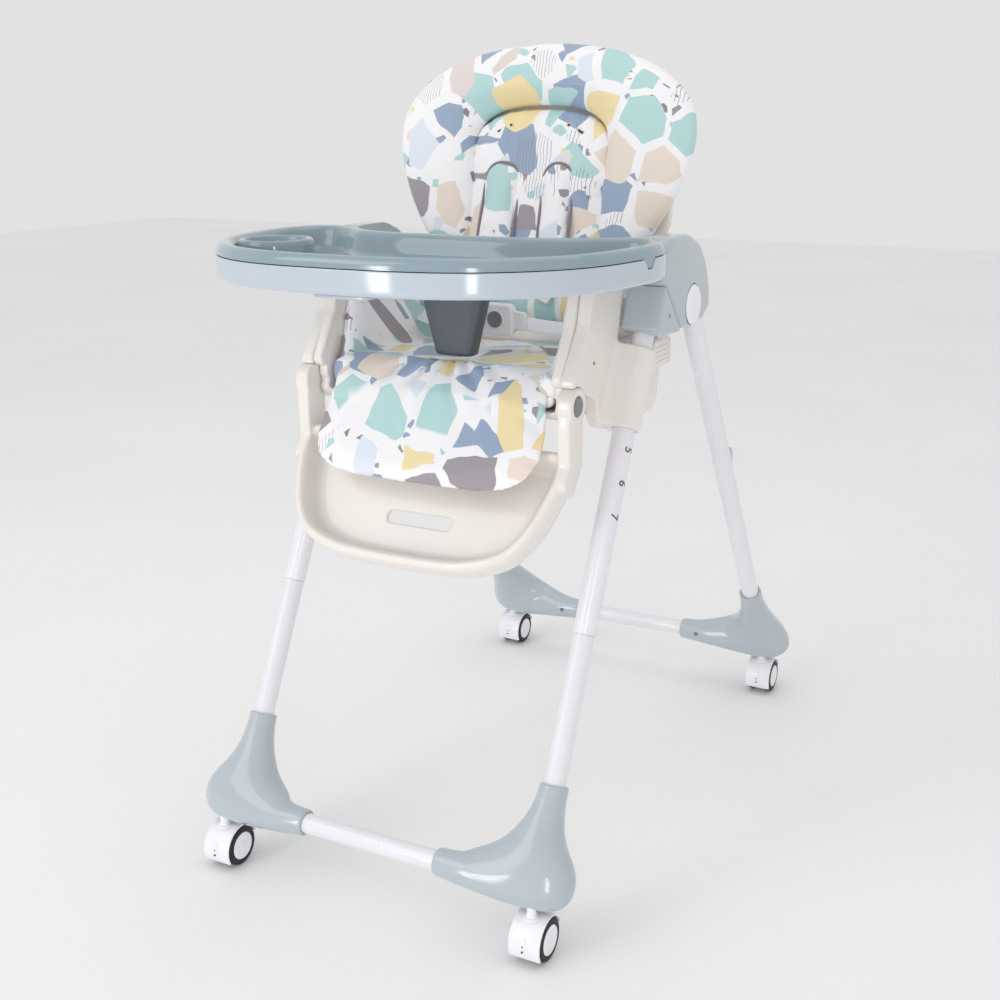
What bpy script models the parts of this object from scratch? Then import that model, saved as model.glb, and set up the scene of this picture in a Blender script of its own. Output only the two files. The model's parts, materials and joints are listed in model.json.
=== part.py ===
"""Folding baby high chair: tube frame on casters, sliding seat, reclining back, footrest and tray.

Units are metres, +Z is up, the sitter faces -Y and the sitter's left hand is at +X.
Every object hangs on the empty "chair", which centres the footprint on the origin.
"""
import math

import bmesh
import bpy
from mathutils import Matrix, Vector

# ---------------------------------------------------------------- driving dimensions
GAP = 0.0003                      # gap between touching pieces
RUNNING_GAP = 0.0006              # gap between pieces that slide or turn on each other
SIDES = {"left": 1.0, "right": -1.0}
ROUND = 20                        # segments of a tube
FOOT_SEGMENTS = 16

# frame tubes
TUBE_R = 0.014
REAR_TUBE_R = 0.0135
LOWER_TUBE_R = 0.013
NECK_R = 0.0115
NECK_LENGTH = 0.034
BAR_R = 0.0125
FRONT_X = 0.2115                  # plane of both front legs
FRONT_LEAN = 0.4975               # run along Y per rise along Z
FRONT_AXIS_Y = -0.0772            # front leg axis at hub height
REAR_TOP_X = 0.2245
REAR_FOOT_X = 0.2310
REAR_LEAN = -0.6068
REAR_AXIS_Y = 0.0276              # rear leg axis at hub height
HUB_Y = -0.001
HUB_Z = 0.700
FRONT_SEAM_Z = 0.3396
REAR_SEAM_Z = 0.3950
FRONT_TOP_Z = 0.7020
REAR_TOP_Z = 0.7060
FRONT_BOTTOM_Z = 0.120
REAR_BOTTOM_Z = 0.130
BAR_Z = 0.088
FRONT_BAR_Y = -0.4080
REAR_BAR_Y = 0.4000
BAR_END_X = 0.182

# feet
FOOT_COLLAR_X = 0.095             # inner end of a foot, where the crossbar enters
FRONT_COLLAR_Z = 0.1803
REAR_COLLAR_Z = 0.1990
HEEL_REACH = 0.0430               # heel beyond the caster stem, sideways
FRONT_HEEL_Y = -0.3900
REAR_HEEL_Y = 0.4160
HEEL_HALF = 0.0310

# casters
FRONT_STEM_X = 0.2211
REAR_STEM_X = 0.2335
FRONT_STEM_Y = -0.4144
REAR_STEM_Y = 0.4034
STEM_R = 0.0055
STEM_TOP_Z = 0.090
WHEEL_R = 0.026
WHEEL_WIDTH = 0.0125
WHEEL_SPACING = 0.0135            # stem to the middle of a wheel
CASTER_TRAIL = 0.0086
AXLE_R = 0.003
FORK_TOP_Z = 0.0605

# hub housings, from inside to outside along X
PLATE_IN_X = 0.1915
PLATE_OUT_X = 0.2088
DOME_IN_X = 0.2094
DOME_OUT_X = 0.2415
BUTTON_R = 0.0255
BUTTON_RECESS = 0.0030
HUB_PIN_R = 0.005

# seat carrier
PANEL_IN_X = 0.1735
PANEL_OUT_X = 0.1910
SLEEVE_R = 0.0195
SEAT_WALL_OUT_X = 0.1732
SEAT_WALL_IN_X = 0.1600
SEAT_FLOOR_Z = 0.5850
SEAT_FLOOR_THICK = 0.0120
SEAT_FRONT_Y = -0.2330
SEAT_BACK_Y = 0.0450
ARM_TOP_Z = 0.7150

# back
RECLINE_Y = 0.012
RECLINE_Z = 0.640
RECLINE_PIN_R = 0.006
BACK_LEAN_DEG = 12.0
BACK_THICK = 0.012
SHELL_BACK = -0.020                # rear face of the back shell, out from the pivot
BACK_HALF_WIDTH = 0.2245
SHELL_HALF_WIDTH = 0.1860

# footrest
FOOTREST_Y = -0.2360
FOOTREST_Z = 0.6095
KNUCKLE_IN_X = 0.1738
KNUCKLE_OUT_X = 0.1935
KNUCKLE_R = 0.0215
FOOTREST_PIN_R = 0.0060
FOOTREST_BUTTON_R = 0.0120
FOOTREST_LEAN_DEG = 36.7
BOARD_BACK = -0.062               # back of the calf board behind the pivot plane
BOARD_FRONT = -0.026
BOARD_THICK = 0.007
BOARD_END = 0.2136                 # lower end of the calf board, down from the pivot
BOARD_RIM = 0.0196
GRIP_HALF = 0.045                  # grip slot: half its length, and its two edges
GRIP_TOP = 0.1378
GRIP_BOTTOM = 0.1548

# tray
TRAY_BOTTOM_Z = 0.7500
TRAY_SPLIT_Z = 0.7790
TRAY_TOP_Z = 0.7930
TRAY_FRONT_Y = -0.4400
TRAY_LIP = 0.002                  # base stands this far outside the insert
POST_Y = -0.1800
RELEASE_HALF = 0.035               # half the length of the tray release
BUCKLE_X = 0.012

# ---------------------------------------------------------------- derived sizes
HUB = Vector((0.0, HUB_Y, HUB_Z))
RECLINE = Vector((0.0, RECLINE_Y, RECLINE_Z))
FOOT_PIVOT = Vector((0.0, FOOTREST_Y, FOOTREST_Z))
FRONT_EDGE_Y = TRAY_FRONT_Y - TRAY_LIP
REAR_EDGE_Y = REAR_HEEL_Y + HEEL_HALF
CENTRE_SHIFT_Y = -(FRONT_EDGE_Y + REAR_EDGE_Y) / 2


def front_axis(z, side=1.0):
    """Point on a front leg's axis at height z."""
    return Vector((side * FRONT_X, FRONT_AXIS_Y + FRONT_LEAN * (z - HUB_Z), z))


def rear_axis(z, side=1.0):
    """Point on a rear leg's axis at height z; the legs splay a little towards the floor."""
    drop = (HUB_Z - z) / (HUB_Z - REAR_COLLAR_Z)
    x = REAR_TOP_X + (REAR_FOOT_X - REAR_TOP_X) * drop
    return Vector((side * x, REAR_AXIS_Y + REAR_LEAN * (z - HUB_Z), z))


# ---------------------------------------------------------------- scene and materials
for old in list(bpy.data.objects):
    bpy.data.objects.remove(old, do_unlink=True)

chair = bpy.data.objects.new("chair", None)
chair.location = (0.0, CENTRE_SHIFT_Y, 0.0)
bpy.context.scene.collection.objects.link(chair)


def finish(name, colour, roughness, metallic=0.0):
    """A plain Principled material."""
    material = bpy.data.materials.new(name)
    material.use_nodes = True
    shader = material.node_tree.nodes["Principled BSDF"]
    shader.inputs["Base Color"].default_value = (*colour, 1.0)
    shader.inputs["Roughness"].default_value = roughness
    shader.inputs["Metallic"].default_value = metallic
    return material


WHITE_PAINT = finish("white_painted_steel", (0.78, 0.77, 0.80), 0.30)
GREY_PLASTIC = finish("grey_gloss_plastic", (0.43, 0.50, 0.55), 0.28)
TRAY_PLASTIC = finish("tray_base_plastic", (0.48, 0.53, 0.58), 0.30)
INSERT_PLASTIC = finish("tray_insert_plastic", (0.24, 0.33, 0.38), 0.18)
CREAM_PLASTIC = finish("cream_plastic", (0.80, 0.77, 0.75), 0.35)
SLATE_PLASTIC = finish("slate_plastic", (0.07, 0.085, 0.10), 0.35)
WHITE_PLASTIC = finish("white_plastic", (0.82, 0.82, 0.84), 0.35)
BUTTON_PLASTIC = finish("button_plastic", (0.20, 0.20, 0.23), 0.40)
TYRE = finish("tyre", (0.015, 0.015, 0.018), 0.60)
FABRIC = finish("printed_fabric", (0.80, 0.79, 0.78), 0.90)
WEBBING = finish("webbing", (0.75, 0.75, 0.76), 0.85)


# ---------------------------------------------------------------- modelling helpers
def add_object(name, bm, material, origin=None):
    """Turn a bmesh into an object whose origin is the given point."""
    origin = Vector(origin) if origin is not None else Vector((0.0, 0.0, 0.0))
    bmesh.ops.recalc_face_normals(bm, faces=bm.faces)
    bmesh.ops.translate(bm, verts=bm.verts, vec=-origin)
    mesh = bpy.data.meshes.new(name)
    bm.to_mesh(mesh)
    bm.free()
    mesh.materials.append(material)
    mesh.shade_smooth()
    mesh.set_sharp_from_angle(angle=math.radians(35))
    obj = bpy.data.objects.new(name, mesh)
    obj.location = origin
    obj.parent = chair
    bpy.context.scene.collection.objects.link(obj)
    return obj


def loft(name, rings, material, origin=None):
    """Skin a row of closed rings with the same number of points, and cap both ends."""
    bm = bmesh.new()
    loops = [[bm.verts.new(point) for point in ring] for ring in rings]
    for near, far in zip(loops, loops[1:]):
        count = len(near)
        for i in range(count):
            j = (i + 1) % count
            bm.faces.new((near[i], near[j], far[j], far[i]))
    bm.faces.new(loops[0][::-1])
    bm.faces.new(loops[-1])
    return add_object(name, bm, material, origin)


def axis_frame(direction):
    """Two unit vectors square to a direction."""
    direction = direction.normalized()
    helper = Vector((1.0, 0.0, 0.0)) if abs(direction.x) < 0.9 else Vector((0.0, 0.0, 1.0))
    side = direction.cross(helper).normalized()
    return side, direction.cross(side)


def turned(name, start, end, profile, material, segments=ROUND, origin=None):
    """Turn a closed profile of (radius, distance along the axis) from start towards end."""
    direction = (end - start).normalized()
    u, v = axis_frame(direction)
    bm = bmesh.new()
    rings = []
    for radius, distance in profile:
        centre = start + direction * distance
        if radius < 1e-6:
            rings.append([bm.verts.new(centre)])
            continue
        ring = []
        for k in range(segments):
            angle = math.tau * k / segments
            ring.append(bm.verts.new(centre + radius * (math.cos(angle) * u + math.sin(angle) * v)))
        rings.append(ring)
    for near, far in zip(rings, rings[1:]):
        for k in range(segments):
            j = (k + 1) % segments
            if len(near) == 1:
                bm.faces.new((near[0], far[j], far[k]))
            elif len(far) == 1:
                bm.faces.new((near[k], near[j], far[0]))
            else:
                bm.faces.new((near[k], near[j], far[j], far[k]))
    return add_object(name, bm, material, origin)


def rod(name, start, end, radius, material, segments=ROUND, origin=None):
    """A plain round bar."""
    length = (end - start).length
    profile = [(0.0, 0.0), (radius, 0.0), (radius, length), (0.0, length)]
    return turned(name, start, end, profile, material, segments, origin)


def filleted(corners, steps=4):
    """Outline from (a, b, radius) corners; each corner becomes an arc."""
    outline = []
    count = len(corners)
    for i, (a, b, radius) in enumerate(corners):
        here = Vector((a, b))
        before = Vector(corners[i - 1][:2]) - here
        after = Vector(corners[(i + 1) % count][:2]) - here
        if radius <= 0.0:
            outline.append(here)
            continue
        half = before.angle(after) / 2
        reach = min(radius / math.tan(half), before.length * 0.49, after.length * 0.49)
        start = here + before.normalized() * reach
        end = here + after.normalized() * reach
        centre = here + (before.normalized() + after.normalized()).normalized() * (reach / math.cos(half))
        arm_a, arm_b = start - centre, end - centre
        swing = arm_a.angle_signed(arm_b)
        for k in range(steps + 1):
            turn = -swing * k / steps
            outline.append(centre + Matrix.Rotation(turn, 2) @ arm_a)
    return outline


def smooth_loop(points, steps):
    """Closed Catmull-Rom curve through the points."""
    count = len(points)
    curve = []
    for i in range(count):
        p0, p1, p2, p3 = (Vector(points[(i + k - 1) % count]) for k in range(4))
        for k in range(steps):
            t = k / steps
            curve.append(0.5 * (2 * p1 + (p2 - p0) * t + (2 * p0 - 5 * p1 + 4 * p2 - p3) * t * t
                                + (3 * p1 - p0 - 3 * p2 + p3) * t ** 3))
    return curve


def smooth_run(values, steps):
    """Open Catmull-Rom run through rows of numbers."""
    rows = [Vector(value) for value in values]
    rows = [2 * rows[0] - rows[1]] + rows + [2 * rows[-1] - rows[-2]]
    run = []
    for i in range(1, len(rows) - 2):
        p0, p1, p2, p3 = rows[i - 1:i + 3]
        for k in range(steps):
            t = k / steps
            run.append(0.5 * (2 * p1 + (p2 - p0) * t + (2 * p0 - 5 * p1 + 4 * p2 - p3) * t * t
                              + (3 * p1 - p0 - 3 * p2 + p3) * t ** 3))
    run.append(rows[-2])
    return run


def slab(name, outline, low, high, material, plane="YZ", origin=None):
    """Extrude a flat outline: in the YZ plane from x=low to x=high, or in the XY plane along Z."""
    def place(point, level):
        if plane == "YZ":
            return Vector((level, point[0], point[1]))
        return Vector((point[0], point[1], level))
    rings = [[place(point, level) for point in outline] for level in (low, high)]
    return loft(name, rings, material, origin)


def mirrored_span(side, inner, outer):
    """The two x values of a span on one side of the chair, lowest first."""
    return sorted((side * inner, side * outer))


def boolean(target, tool, operation):
    """Cut or join one object with a hidden tool object."""
    modifier = target.modifiers.new(operation.lower(), "BOOLEAN")
    modifier.operation = operation
    modifier.object = tool
    modifier.solver = "EXACT"
    tool.hide_render = True
    tool.display_type = "WIRE"


def cut(target, tool):
    boolean(target, tool, "DIFFERENCE")


def join(target, tool):
    boolean(target, tool, "UNION")


def box(name, low, high, material, origin=None):
    """An axis-aligned block."""
    outline = [(low[0], low[1]), (high[0], low[1]), (high[0], high[1]), (low[0], high[1])]
    return slab(name, outline, low[2], high[2], material, "XY", origin)


def mirror_points(points, side):
    """Points of the +X side, or their mirror images."""
    return [Vector((side * p.x, p.y, p.z)) for p in points]


# ---------------------------------------------------------------- legs, crossbars and feet
def build_legs():
    """Two-part swaged tubes: the neck of each lower tube sits in the upper tube."""
    legs = (("front", front_axis, FRONT_TOP_Z, FRONT_SEAM_Z, FRONT_BOTTOM_Z, None),
            ("rear", rear_axis, REAR_TOP_Z, REAR_SEAM_Z, REAR_BOTTOM_Z, HUB))
    for frame, axis, top_z, seam_z, bottom_z, pivot in legs:
        for side_name, side in SIDES.items():
            top, seam, bottom = (axis(z, side) for z in (top_z, seam_z, bottom_z))
            radius = TUBE_R if frame == "front" else REAR_TUBE_R
            length = (top - seam).length
            bore = NECK_LENGTH + GAP
            profile = [(0.0, bore), (NECK_R + GAP, bore), (NECK_R + GAP, 0.0), (radius, 0.0),
                       (radius, length), (0.0, length)]
            turned(f"{frame}_upper_tube_{side_name}", seam, top, profile, WHITE_PAINT, origin=pivot)
            length = (seam - bottom).length - GAP
            profile = [(0.0, 0.0), (LOWER_TUBE_R, 0.0), (LOWER_TUBE_R, length),
                       (NECK_R, length), (NECK_R, length + NECK_LENGTH), (0.0, length + NECK_LENGTH)]
            turned(f"{frame}_lower_tube_{side_name}", bottom, seam, profile, WHITE_PAINT, origin=pivot)


def foot_rings(axis, stem_x, heel_y, collar_z, bar_y):
    """Rings of an elbow from the leg's collar, round the heel, to the crossbar's collar.

    Each station has an outer and an inner edge point in the plane of X and the leg, measured as
    (x, height above the crossbar), the half thickness across that plane, and two shares: how far
    the section has moved from the leg's axis to the heel, and from there to the crossbar.
    """
    up = (axis(0.5) - axis(0.2)).normalized()
    leg = axis(BAR_Z)
    collar = (collar_z - BAR_Z) / up.z
    heel_x = stem_x + HEEL_REACH
    bar = BAR_R + 0.004
    stations = [
        (leg.x + 0.0175, collar, leg.x - 0.0175, collar, 0.0175, 0.0, 0.0),
        (leg.x + 0.0178, collar * 0.80, leg.x - 0.0190, collar * 0.82, 0.0185, 0.1, 0.0),
        (leg.x + 0.0250, collar * 0.45, leg.x - 0.0280, collar * 0.58, 0.0235, 0.5, 0.0),
        (heel_x - 0.0030, 0.018, leg.x - 0.0450, collar * 0.37, 0.0285, 1.0, 0.0),
        (heel_x - 0.0015, -0.010, leg.x - 0.0560, collar * 0.295, HEEL_HALF, 1.0, 0.1),
        (heel_x - 0.0180, -0.0275, leg.x - 0.0660, collar * 0.245, HEEL_HALF, 1.0, 0.25),
        (stem_x - 0.0120, -0.0285, leg.x - 0.0780, collar * 0.205, 0.0270, 1.0, 0.55),
        (stem_x - 0.0600, -0.0225, 0.1230, 0.0185, 0.0205, 1.0, 1.0),
        (FOOT_COLLAR_X, -bar, FOOT_COLLAR_X, bar, bar, 1.0, 1.0),
    ]
    out = Vector((1.0, 0.0, 0.0))
    rings = []
    for outer_x, outer_b, inner_x, inner_b, half, to_heel, to_bar in smooth_run(stations, 2):
        y = leg.y + (heel_y - leg.y) * to_heel + (bar_y - heel_y) * to_bar
        base = Vector((0.0, y, BAR_Z))
        rise = up.lerp(Vector((0.0, 0.0, 1.0)), min(max(to_bar, 0.0), 1.0)).normalized()
        outer = base + out * outer_x + rise * outer_b
        inner = base + out * inner_x + rise * inner_b
        centre = (outer + inner) / 2
        arm = (outer - inner) / 2
        across = out.cross(rise)
        ring = []
        for k in range(FOOT_SEGMENTS):
            angle = math.tau * k / FOOT_SEGMENTS
            ring.append(centre + arm * math.cos(angle) + across * half * math.sin(angle))
        rings.append(ring)
    return rings


def build_feet():
    """Moulded elbows that join a leg, a crossbar and a caster stem."""
    feet = (("front", front_axis, (FRONT_STEM_X, FRONT_STEM_Y), FRONT_HEEL_Y, FRONT_COLLAR_Z, FRONT_BAR_Y,
             FRONT_BOTTOM_Z, None),
            ("rear", rear_axis, (REAR_STEM_X, REAR_STEM_Y), REAR_HEEL_Y, REAR_COLLAR_Z, REAR_BAR_Y,
             REAR_BOTTOM_Z, HUB))
    for frame, axis, (stem_x, stem_y), heel_y, collar_z, bar_y, bottom_z, pivot in feet:
        rings = foot_rings(axis, stem_x, heel_y, collar_z, bar_y)
        bar_half = BAR_END_X
        rod(f"{frame}_crossbar", Vector((-bar_half, bar_y, BAR_Z)), Vector((bar_half, bar_y, BAR_Z)),
            BAR_R, WHITE_PAINT, origin=pivot)
        for side_name, side in SIDES.items():
            name = f"{frame}_foot_{side_name}"
            foot = loft(name, [mirror_points(ring, side) for ring in rings], GREY_PLASTIC, pivot)
            leg_end = axis(bottom_z, side)
            leg_way = (axis(collar_z, side) - leg_end).normalized()
            cut(foot, rod(f"{name}_leg_socket", leg_end - leg_way * GAP,
                          axis(collar_z + 0.02, side), LOWER_TUBE_R + GAP, GREY_PLASTIC))
            cut(foot, rod(f"{name}_bar_socket", Vector((side * (bar_half + GAP), bar_y, BAR_Z)),
                          Vector((side * (FOOT_COLLAR_X - 0.02), bar_y, BAR_Z)), BAR_R + GAP, GREY_PLASTIC))
            cut(foot, rod(f"{name}_stem_socket", Vector((side * stem_x, stem_y, STEM_TOP_Z + GAP)),
                          Vector((side * stem_x, stem_y, FORK_TOP_Z - 0.01)), STEM_R + RUNNING_GAP,
                          GREY_PLASTIC, 16))
            cut(foot, box(f"{name}_underside", (side * stem_x - 0.1, stem_y - 0.1, 0.0),
                          (side * stem_x + 0.1, stem_y + 0.1, FORK_TOP_Z + RUNNING_GAP), GREY_PLASTIC))


# ---------------------------------------------------------------- casters
def baked(obj):
    """The mesh of an object with its modifiers applied."""
    bpy.context.view_layer.update()
    graph = bpy.context.evaluated_depsgraph_get()
    return bpy.data.meshes.new_from_object(obj.evaluated_get(graph))


def drop(*objects):
    for obj in objects:
        bpy.data.objects.remove(obj, do_unlink=True)


def caster_housing_mesh():
    """Stem, fender over both wheels, web between them and the axle, round the stem's foot at z=0."""
    centre = Vector((0.0, CASTER_TRAIL, WHEEL_R))
    fender_r = WHEEL_R + 0.0040
    half = WHEEL_SPACING + WHEEL_WIDTH / 2
    outline = []
    for k in range(12):
        angle = math.radians(-8 + 176 * k / 11)
        outline.append((centre.y + fender_r * -math.cos(angle), centre.z + fender_r * math.sin(angle)))
    outline += [(centre.y + 0.012, centre.z - 0.010), (centre.y - 0.012, centre.z - 0.012)]
    body = slab("fender", outline, -half, half, WHITE_PLASTIC)
    tools = []
    for side in SIDES.values():
        low, high = sorted((side * (WHEEL_SPACING - WHEEL_WIDTH / 2 - RUNNING_GAP), side * 0.04))
        tools.append(rod("wheel_room", Vector((low, centre.y, centre.z)), Vector((high, centre.y, centre.z)),
                         WHEEL_R + 0.0012, WHITE_PLASTIC, 24))
        cut(body, tools[-1])
    room = box("brake_room", (-0.0085, centre.y + 0.016, 0.010), (0.0085, centre.y + 0.05, 0.046),
               WHITE_PLASTIC)
    tools.append(room)
    cut(body, room)
    stem_foot = WHEEL_R * 2 + 0.0020
    flange = FORK_TOP_Z - stem_foot
    stem = turned("stem", Vector((0.0, 0.0, stem_foot)), Vector((0.0, 0.0, 1.0)),
                  [(0.0, 0.0), (0.010, 0.0), (0.010, flange), (STEM_R, flange),
                   (STEM_R, STEM_TOP_Z - stem_foot), (0.0, STEM_TOP_Z - stem_foot)], WHITE_PLASTIC, 16)
    axle = rod("axle", Vector((-half + 0.002, centre.y, centre.z)),
               Vector((half - 0.002, centre.y, centre.z)), AXLE_R, WHITE_PLASTIC, 12)
    web_foot = rod("web_foot", Vector((-0.0055, centre.y, centre.z)), Vector((0.0055, centre.y, centre.z)),
                   0.0135, WHITE_PLASTIC, 16)
    for piece in (stem, axle, web_foot):
        tools.append(piece)
        join(body, piece)
    mesh = baked(body)
    drop(body, *tools)
    return mesh


def wheel_mesh():
    """A wheel with a rounded tread, turned about X."""
    half = WHEEL_WIDTH / 2
    edge = 0.003
    profile = [(AXLE_R + GAP, 0.0), (WHEEL_R - edge, 0.0), (WHEEL_R, edge), (WHEEL_R, WHEEL_WIDTH - edge),
               (WHEEL_R - edge, WHEEL_WIDTH), (AXLE_R + GAP, WHEEL_WIDTH), (AXLE_R + GAP, 0.0)]
    wheel = turned("wheel", Vector((-half, 0.0, 0.0)), Vector((half, 0.0, 0.0)), profile, TYRE, 20)
    bm = bmesh.new()
    bm.from_mesh(wheel.data)
    bmesh.ops.remove_doubles(bm, verts=bm.verts, dist=1e-6)
    bm.to_mesh(wheel.data)
    bm.free()
    mesh = wheel.data
    drop(wheel)
    return mesh


def brake_mesh():
    """A pedal between the wheels, pivoting about X at its own origin."""
    outline = filleted([(-0.0035, -0.0045, 0.001), (0.0045, -0.0090, 0.001), (0.0150, -0.0040, 0.002),
                        (0.0135, 0.0010, 0.001), (0.0050, 0.0040, 0.001), (-0.0035, 0.0040, 0.001)], 2)
    pedal = slab("pedal", outline, -0.0052, 0.0052, BUTTON_PLASTIC)
    mesh = pedal.data
    drop(pedal)
    return mesh


def place_mesh(name, mesh, location):
    """Another object on a shared mesh."""
    obj = bpy.data.objects.new(name, mesh)
    obj.location = location
    obj.parent = chair
    bpy.context.scene.collection.objects.link(obj)
    return obj


def build_casters():
    """Four braked twin-wheel swivel casters."""
    housing, wheel, brake = caster_housing_mesh(), wheel_mesh(), brake_mesh()
    for frame, stem_x, stem_y in (("front", FRONT_STEM_X, FRONT_STEM_Y), ("rear", REAR_STEM_X, REAR_STEM_Y)):
        for side_name, side in SIDES.items():
            stem = Vector((side * stem_x, stem_y, 0.0))
            place_mesh(f"caster_housing_{frame}_{side_name}", housing, stem)
            for label, offset in (("outer", side * WHEEL_SPACING), ("inner", -side * WHEEL_SPACING)):
                centre = stem + Vector((offset, CASTER_TRAIL, WHEEL_R))
                place_mesh(f"wheel_{label}_{frame}_{side_name}", wheel, centre)
            pedal = stem + Vector((0.0, CASTER_TRAIL + 0.0205, 0.0330))
            place_mesh(f"caster_brake_{frame}_{side_name}", brake, pedal)


# ---------------------------------------------------------------- fold hub
SEAM_LOW = Vector((-0.0395, 0.6735))
SEAM_HIGH = Vector((-0.0935, 0.7340))


def build_hub():
    """Front housing with the inner plate, rear housing with the dome, and the release button."""
    block = filleted([(-0.1150, 0.6820, 0.004), (-0.0970, 0.6735, 0.004), (SEAM_LOW.x - 0.004, 0.6715, 0.003),
                      (SEAM_LOW.x - GAP, SEAM_LOW.y, 0.0), (SEAM_HIGH.x - GAP, SEAM_HIGH.y, 0.0)], 3)
    plate = filleted([(-0.1150, 0.6820, 0.004), (-0.0970, 0.6735, 0.004), (-0.0300, 0.6690, 0.020),
                      (0.0300, 0.6690, 0.028), (0.0310, 0.7310, 0.028), (-0.0600, 0.7500, 0.025),
                      (-0.0935, 0.7340, 0.006)], 4)
    dome = filleted([(SEAM_LOW.x + GAP, SEAM_LOW.y, 0.0), (0.0060, 0.6715, 0.006), (0.0190, 0.6775, 0.003),
                     (0.0420, 0.6760, 0.004), (0.0660, 0.6905, 0.005), (0.0500, 0.7390, 0.015),
                     (0.0020, 0.7890, 0.045), (-0.0870, 0.7900, 0.038), (-0.1020, 0.7560, 0.012),
                     (SEAM_HIGH.x + GAP, SEAM_HIGH.y, 0.0)], 5)
    for side_name, side in SIDES.items():
        low, high = mirrored_span(side, PLATE_IN_X, DOME_OUT_X)
        front = slab(f"hinge_front_housing_{side_name}", block, low, high, GREY_PLASTIC)
        low, high = mirrored_span(side, PLATE_IN_X, PLATE_OUT_X)
        join(front, slab(f"front_plate_tool_{side_name}", plate, low, high, GREY_PLASTIC))
        cut(front, rod(f"front_socket_{side_name}", front_axis(0.64, side),
                       front_axis(FRONT_TOP_Z + GAP, side), TUBE_R + GAP, GREY_PLASTIC))
        bore = [Vector((side * x, HUB_Y, HUB_Z)) for x in (PLATE_IN_X - 0.01, DOME_OUT_X + 0.01)]
        bore_tool = rod(f"hub_bore_{side_name}", bore[0], bore[1], HUB_PIN_R + GAP, GREY_PLASTIC, 16)
        cut(front, bore_tool)

        low, high = mirrored_span(side, DOME_IN_X, DOME_OUT_X)
        rear = slab(f"hinge_rear_housing_{side_name}", dome, low, high, GREY_PLASTIC, origin=HUB)
        cut(rear, rod(f"rear_socket_{side_name}", rear_axis(0.64, side),
                      rear_axis(REAR_TOP_Z + GAP, side), REAR_TUBE_R + GAP, GREY_PLASTIC))
        cut(rear, bore_tool)
        recess = [Vector((side * x, HUB_Y, HUB_Z)) for x in (DOME_OUT_X - BUTTON_RECESS, DOME_OUT_X + 0.01)]
        cut(rear, rod(f"button_recess_{side_name}", recess[0], recess[1], BUTTON_R + RUNNING_GAP,
                      GREY_PLASTIC, 32))

        pin_start = Vector((side * (PLATE_IN_X + 0.003), HUB_Y, HUB_Z))
        pin_end = Vector((side * DOME_OUT_X, HUB_Y, HUB_Z))
        face = (pin_end - pin_start).length
        profile = [(0.0, 0.0), (HUB_PIN_R, 0.0), (HUB_PIN_R, face), (BUTTON_R, face),
                   (BUTTON_R, face + 0.0018), (BUTTON_R - 0.0015, face + 0.0030), (0.0, face + 0.0036)]
        turned(f"hub_button_{side_name}", pin_start, pin_end, profile, WHITE_PLASTIC, 32, origin=pin_end)


def build_tray_hooks():
    """Hooks behind the rear legs that hold the tray when it is put away."""
    for side_name, side in SIDES.items():
        base = rear_axis(0.449, side)
        outline = filleted([(0.0168, 0.0190, 0.002), (0.0250, 0.0130, 0.003), (0.0265, -0.0060, 0.003),
                            (0.0210, -0.0180, 0.002), (0.0090, -0.0140, 0.001), (0.0030, 0.0120, 0.001)], 2)
        outline = [(base.y + a, base.z + b) for a, b in outline]
        hook = slab(f"tray_hook_{side_name}", outline, base.x - 0.007, base.x + 0.007, GREY_PLASTIC,
                    origin=HUB)
        cut(hook, rod(f"hook_seat_{side_name}", rear_axis(0.40, side), rear_axis(0.50, side),
                      REAR_TUBE_R + GAP, GREY_PLASTIC))


# ---------------------------------------------------------------- seat carrier
def sleeve_ring(z, side):
    """Section of the sleeve: half a round round the leg, widening into the panel behind it."""
    centre = front_axis(z, side)
    along = (front_axis(0.6) - front_axis(0.5)).normalized()
    back = Vector((0.0, along.z, -along.y))
    points = [(PANEL_OUT_X - 0.008, -0.034), (PANEL_OUT_X, -0.034), (PANEL_OUT_X + 0.004, -0.024)]
    for k in range(9):
        angle = math.radians(-70 + 140 * k / 8)
        points.append((FRONT_X + SLEEVE_R * math.cos(angle), SLEEVE_R * math.sin(angle)))
    points += [(PANEL_OUT_X + 0.004, 0.024), (PANEL_OUT_X, 0.034), (PANEL_OUT_X - 0.008, 0.034)]
    return [Vector((side * x, centre.y + back.y * b, centre.z + back.z * b)) for x, b in points]


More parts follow.
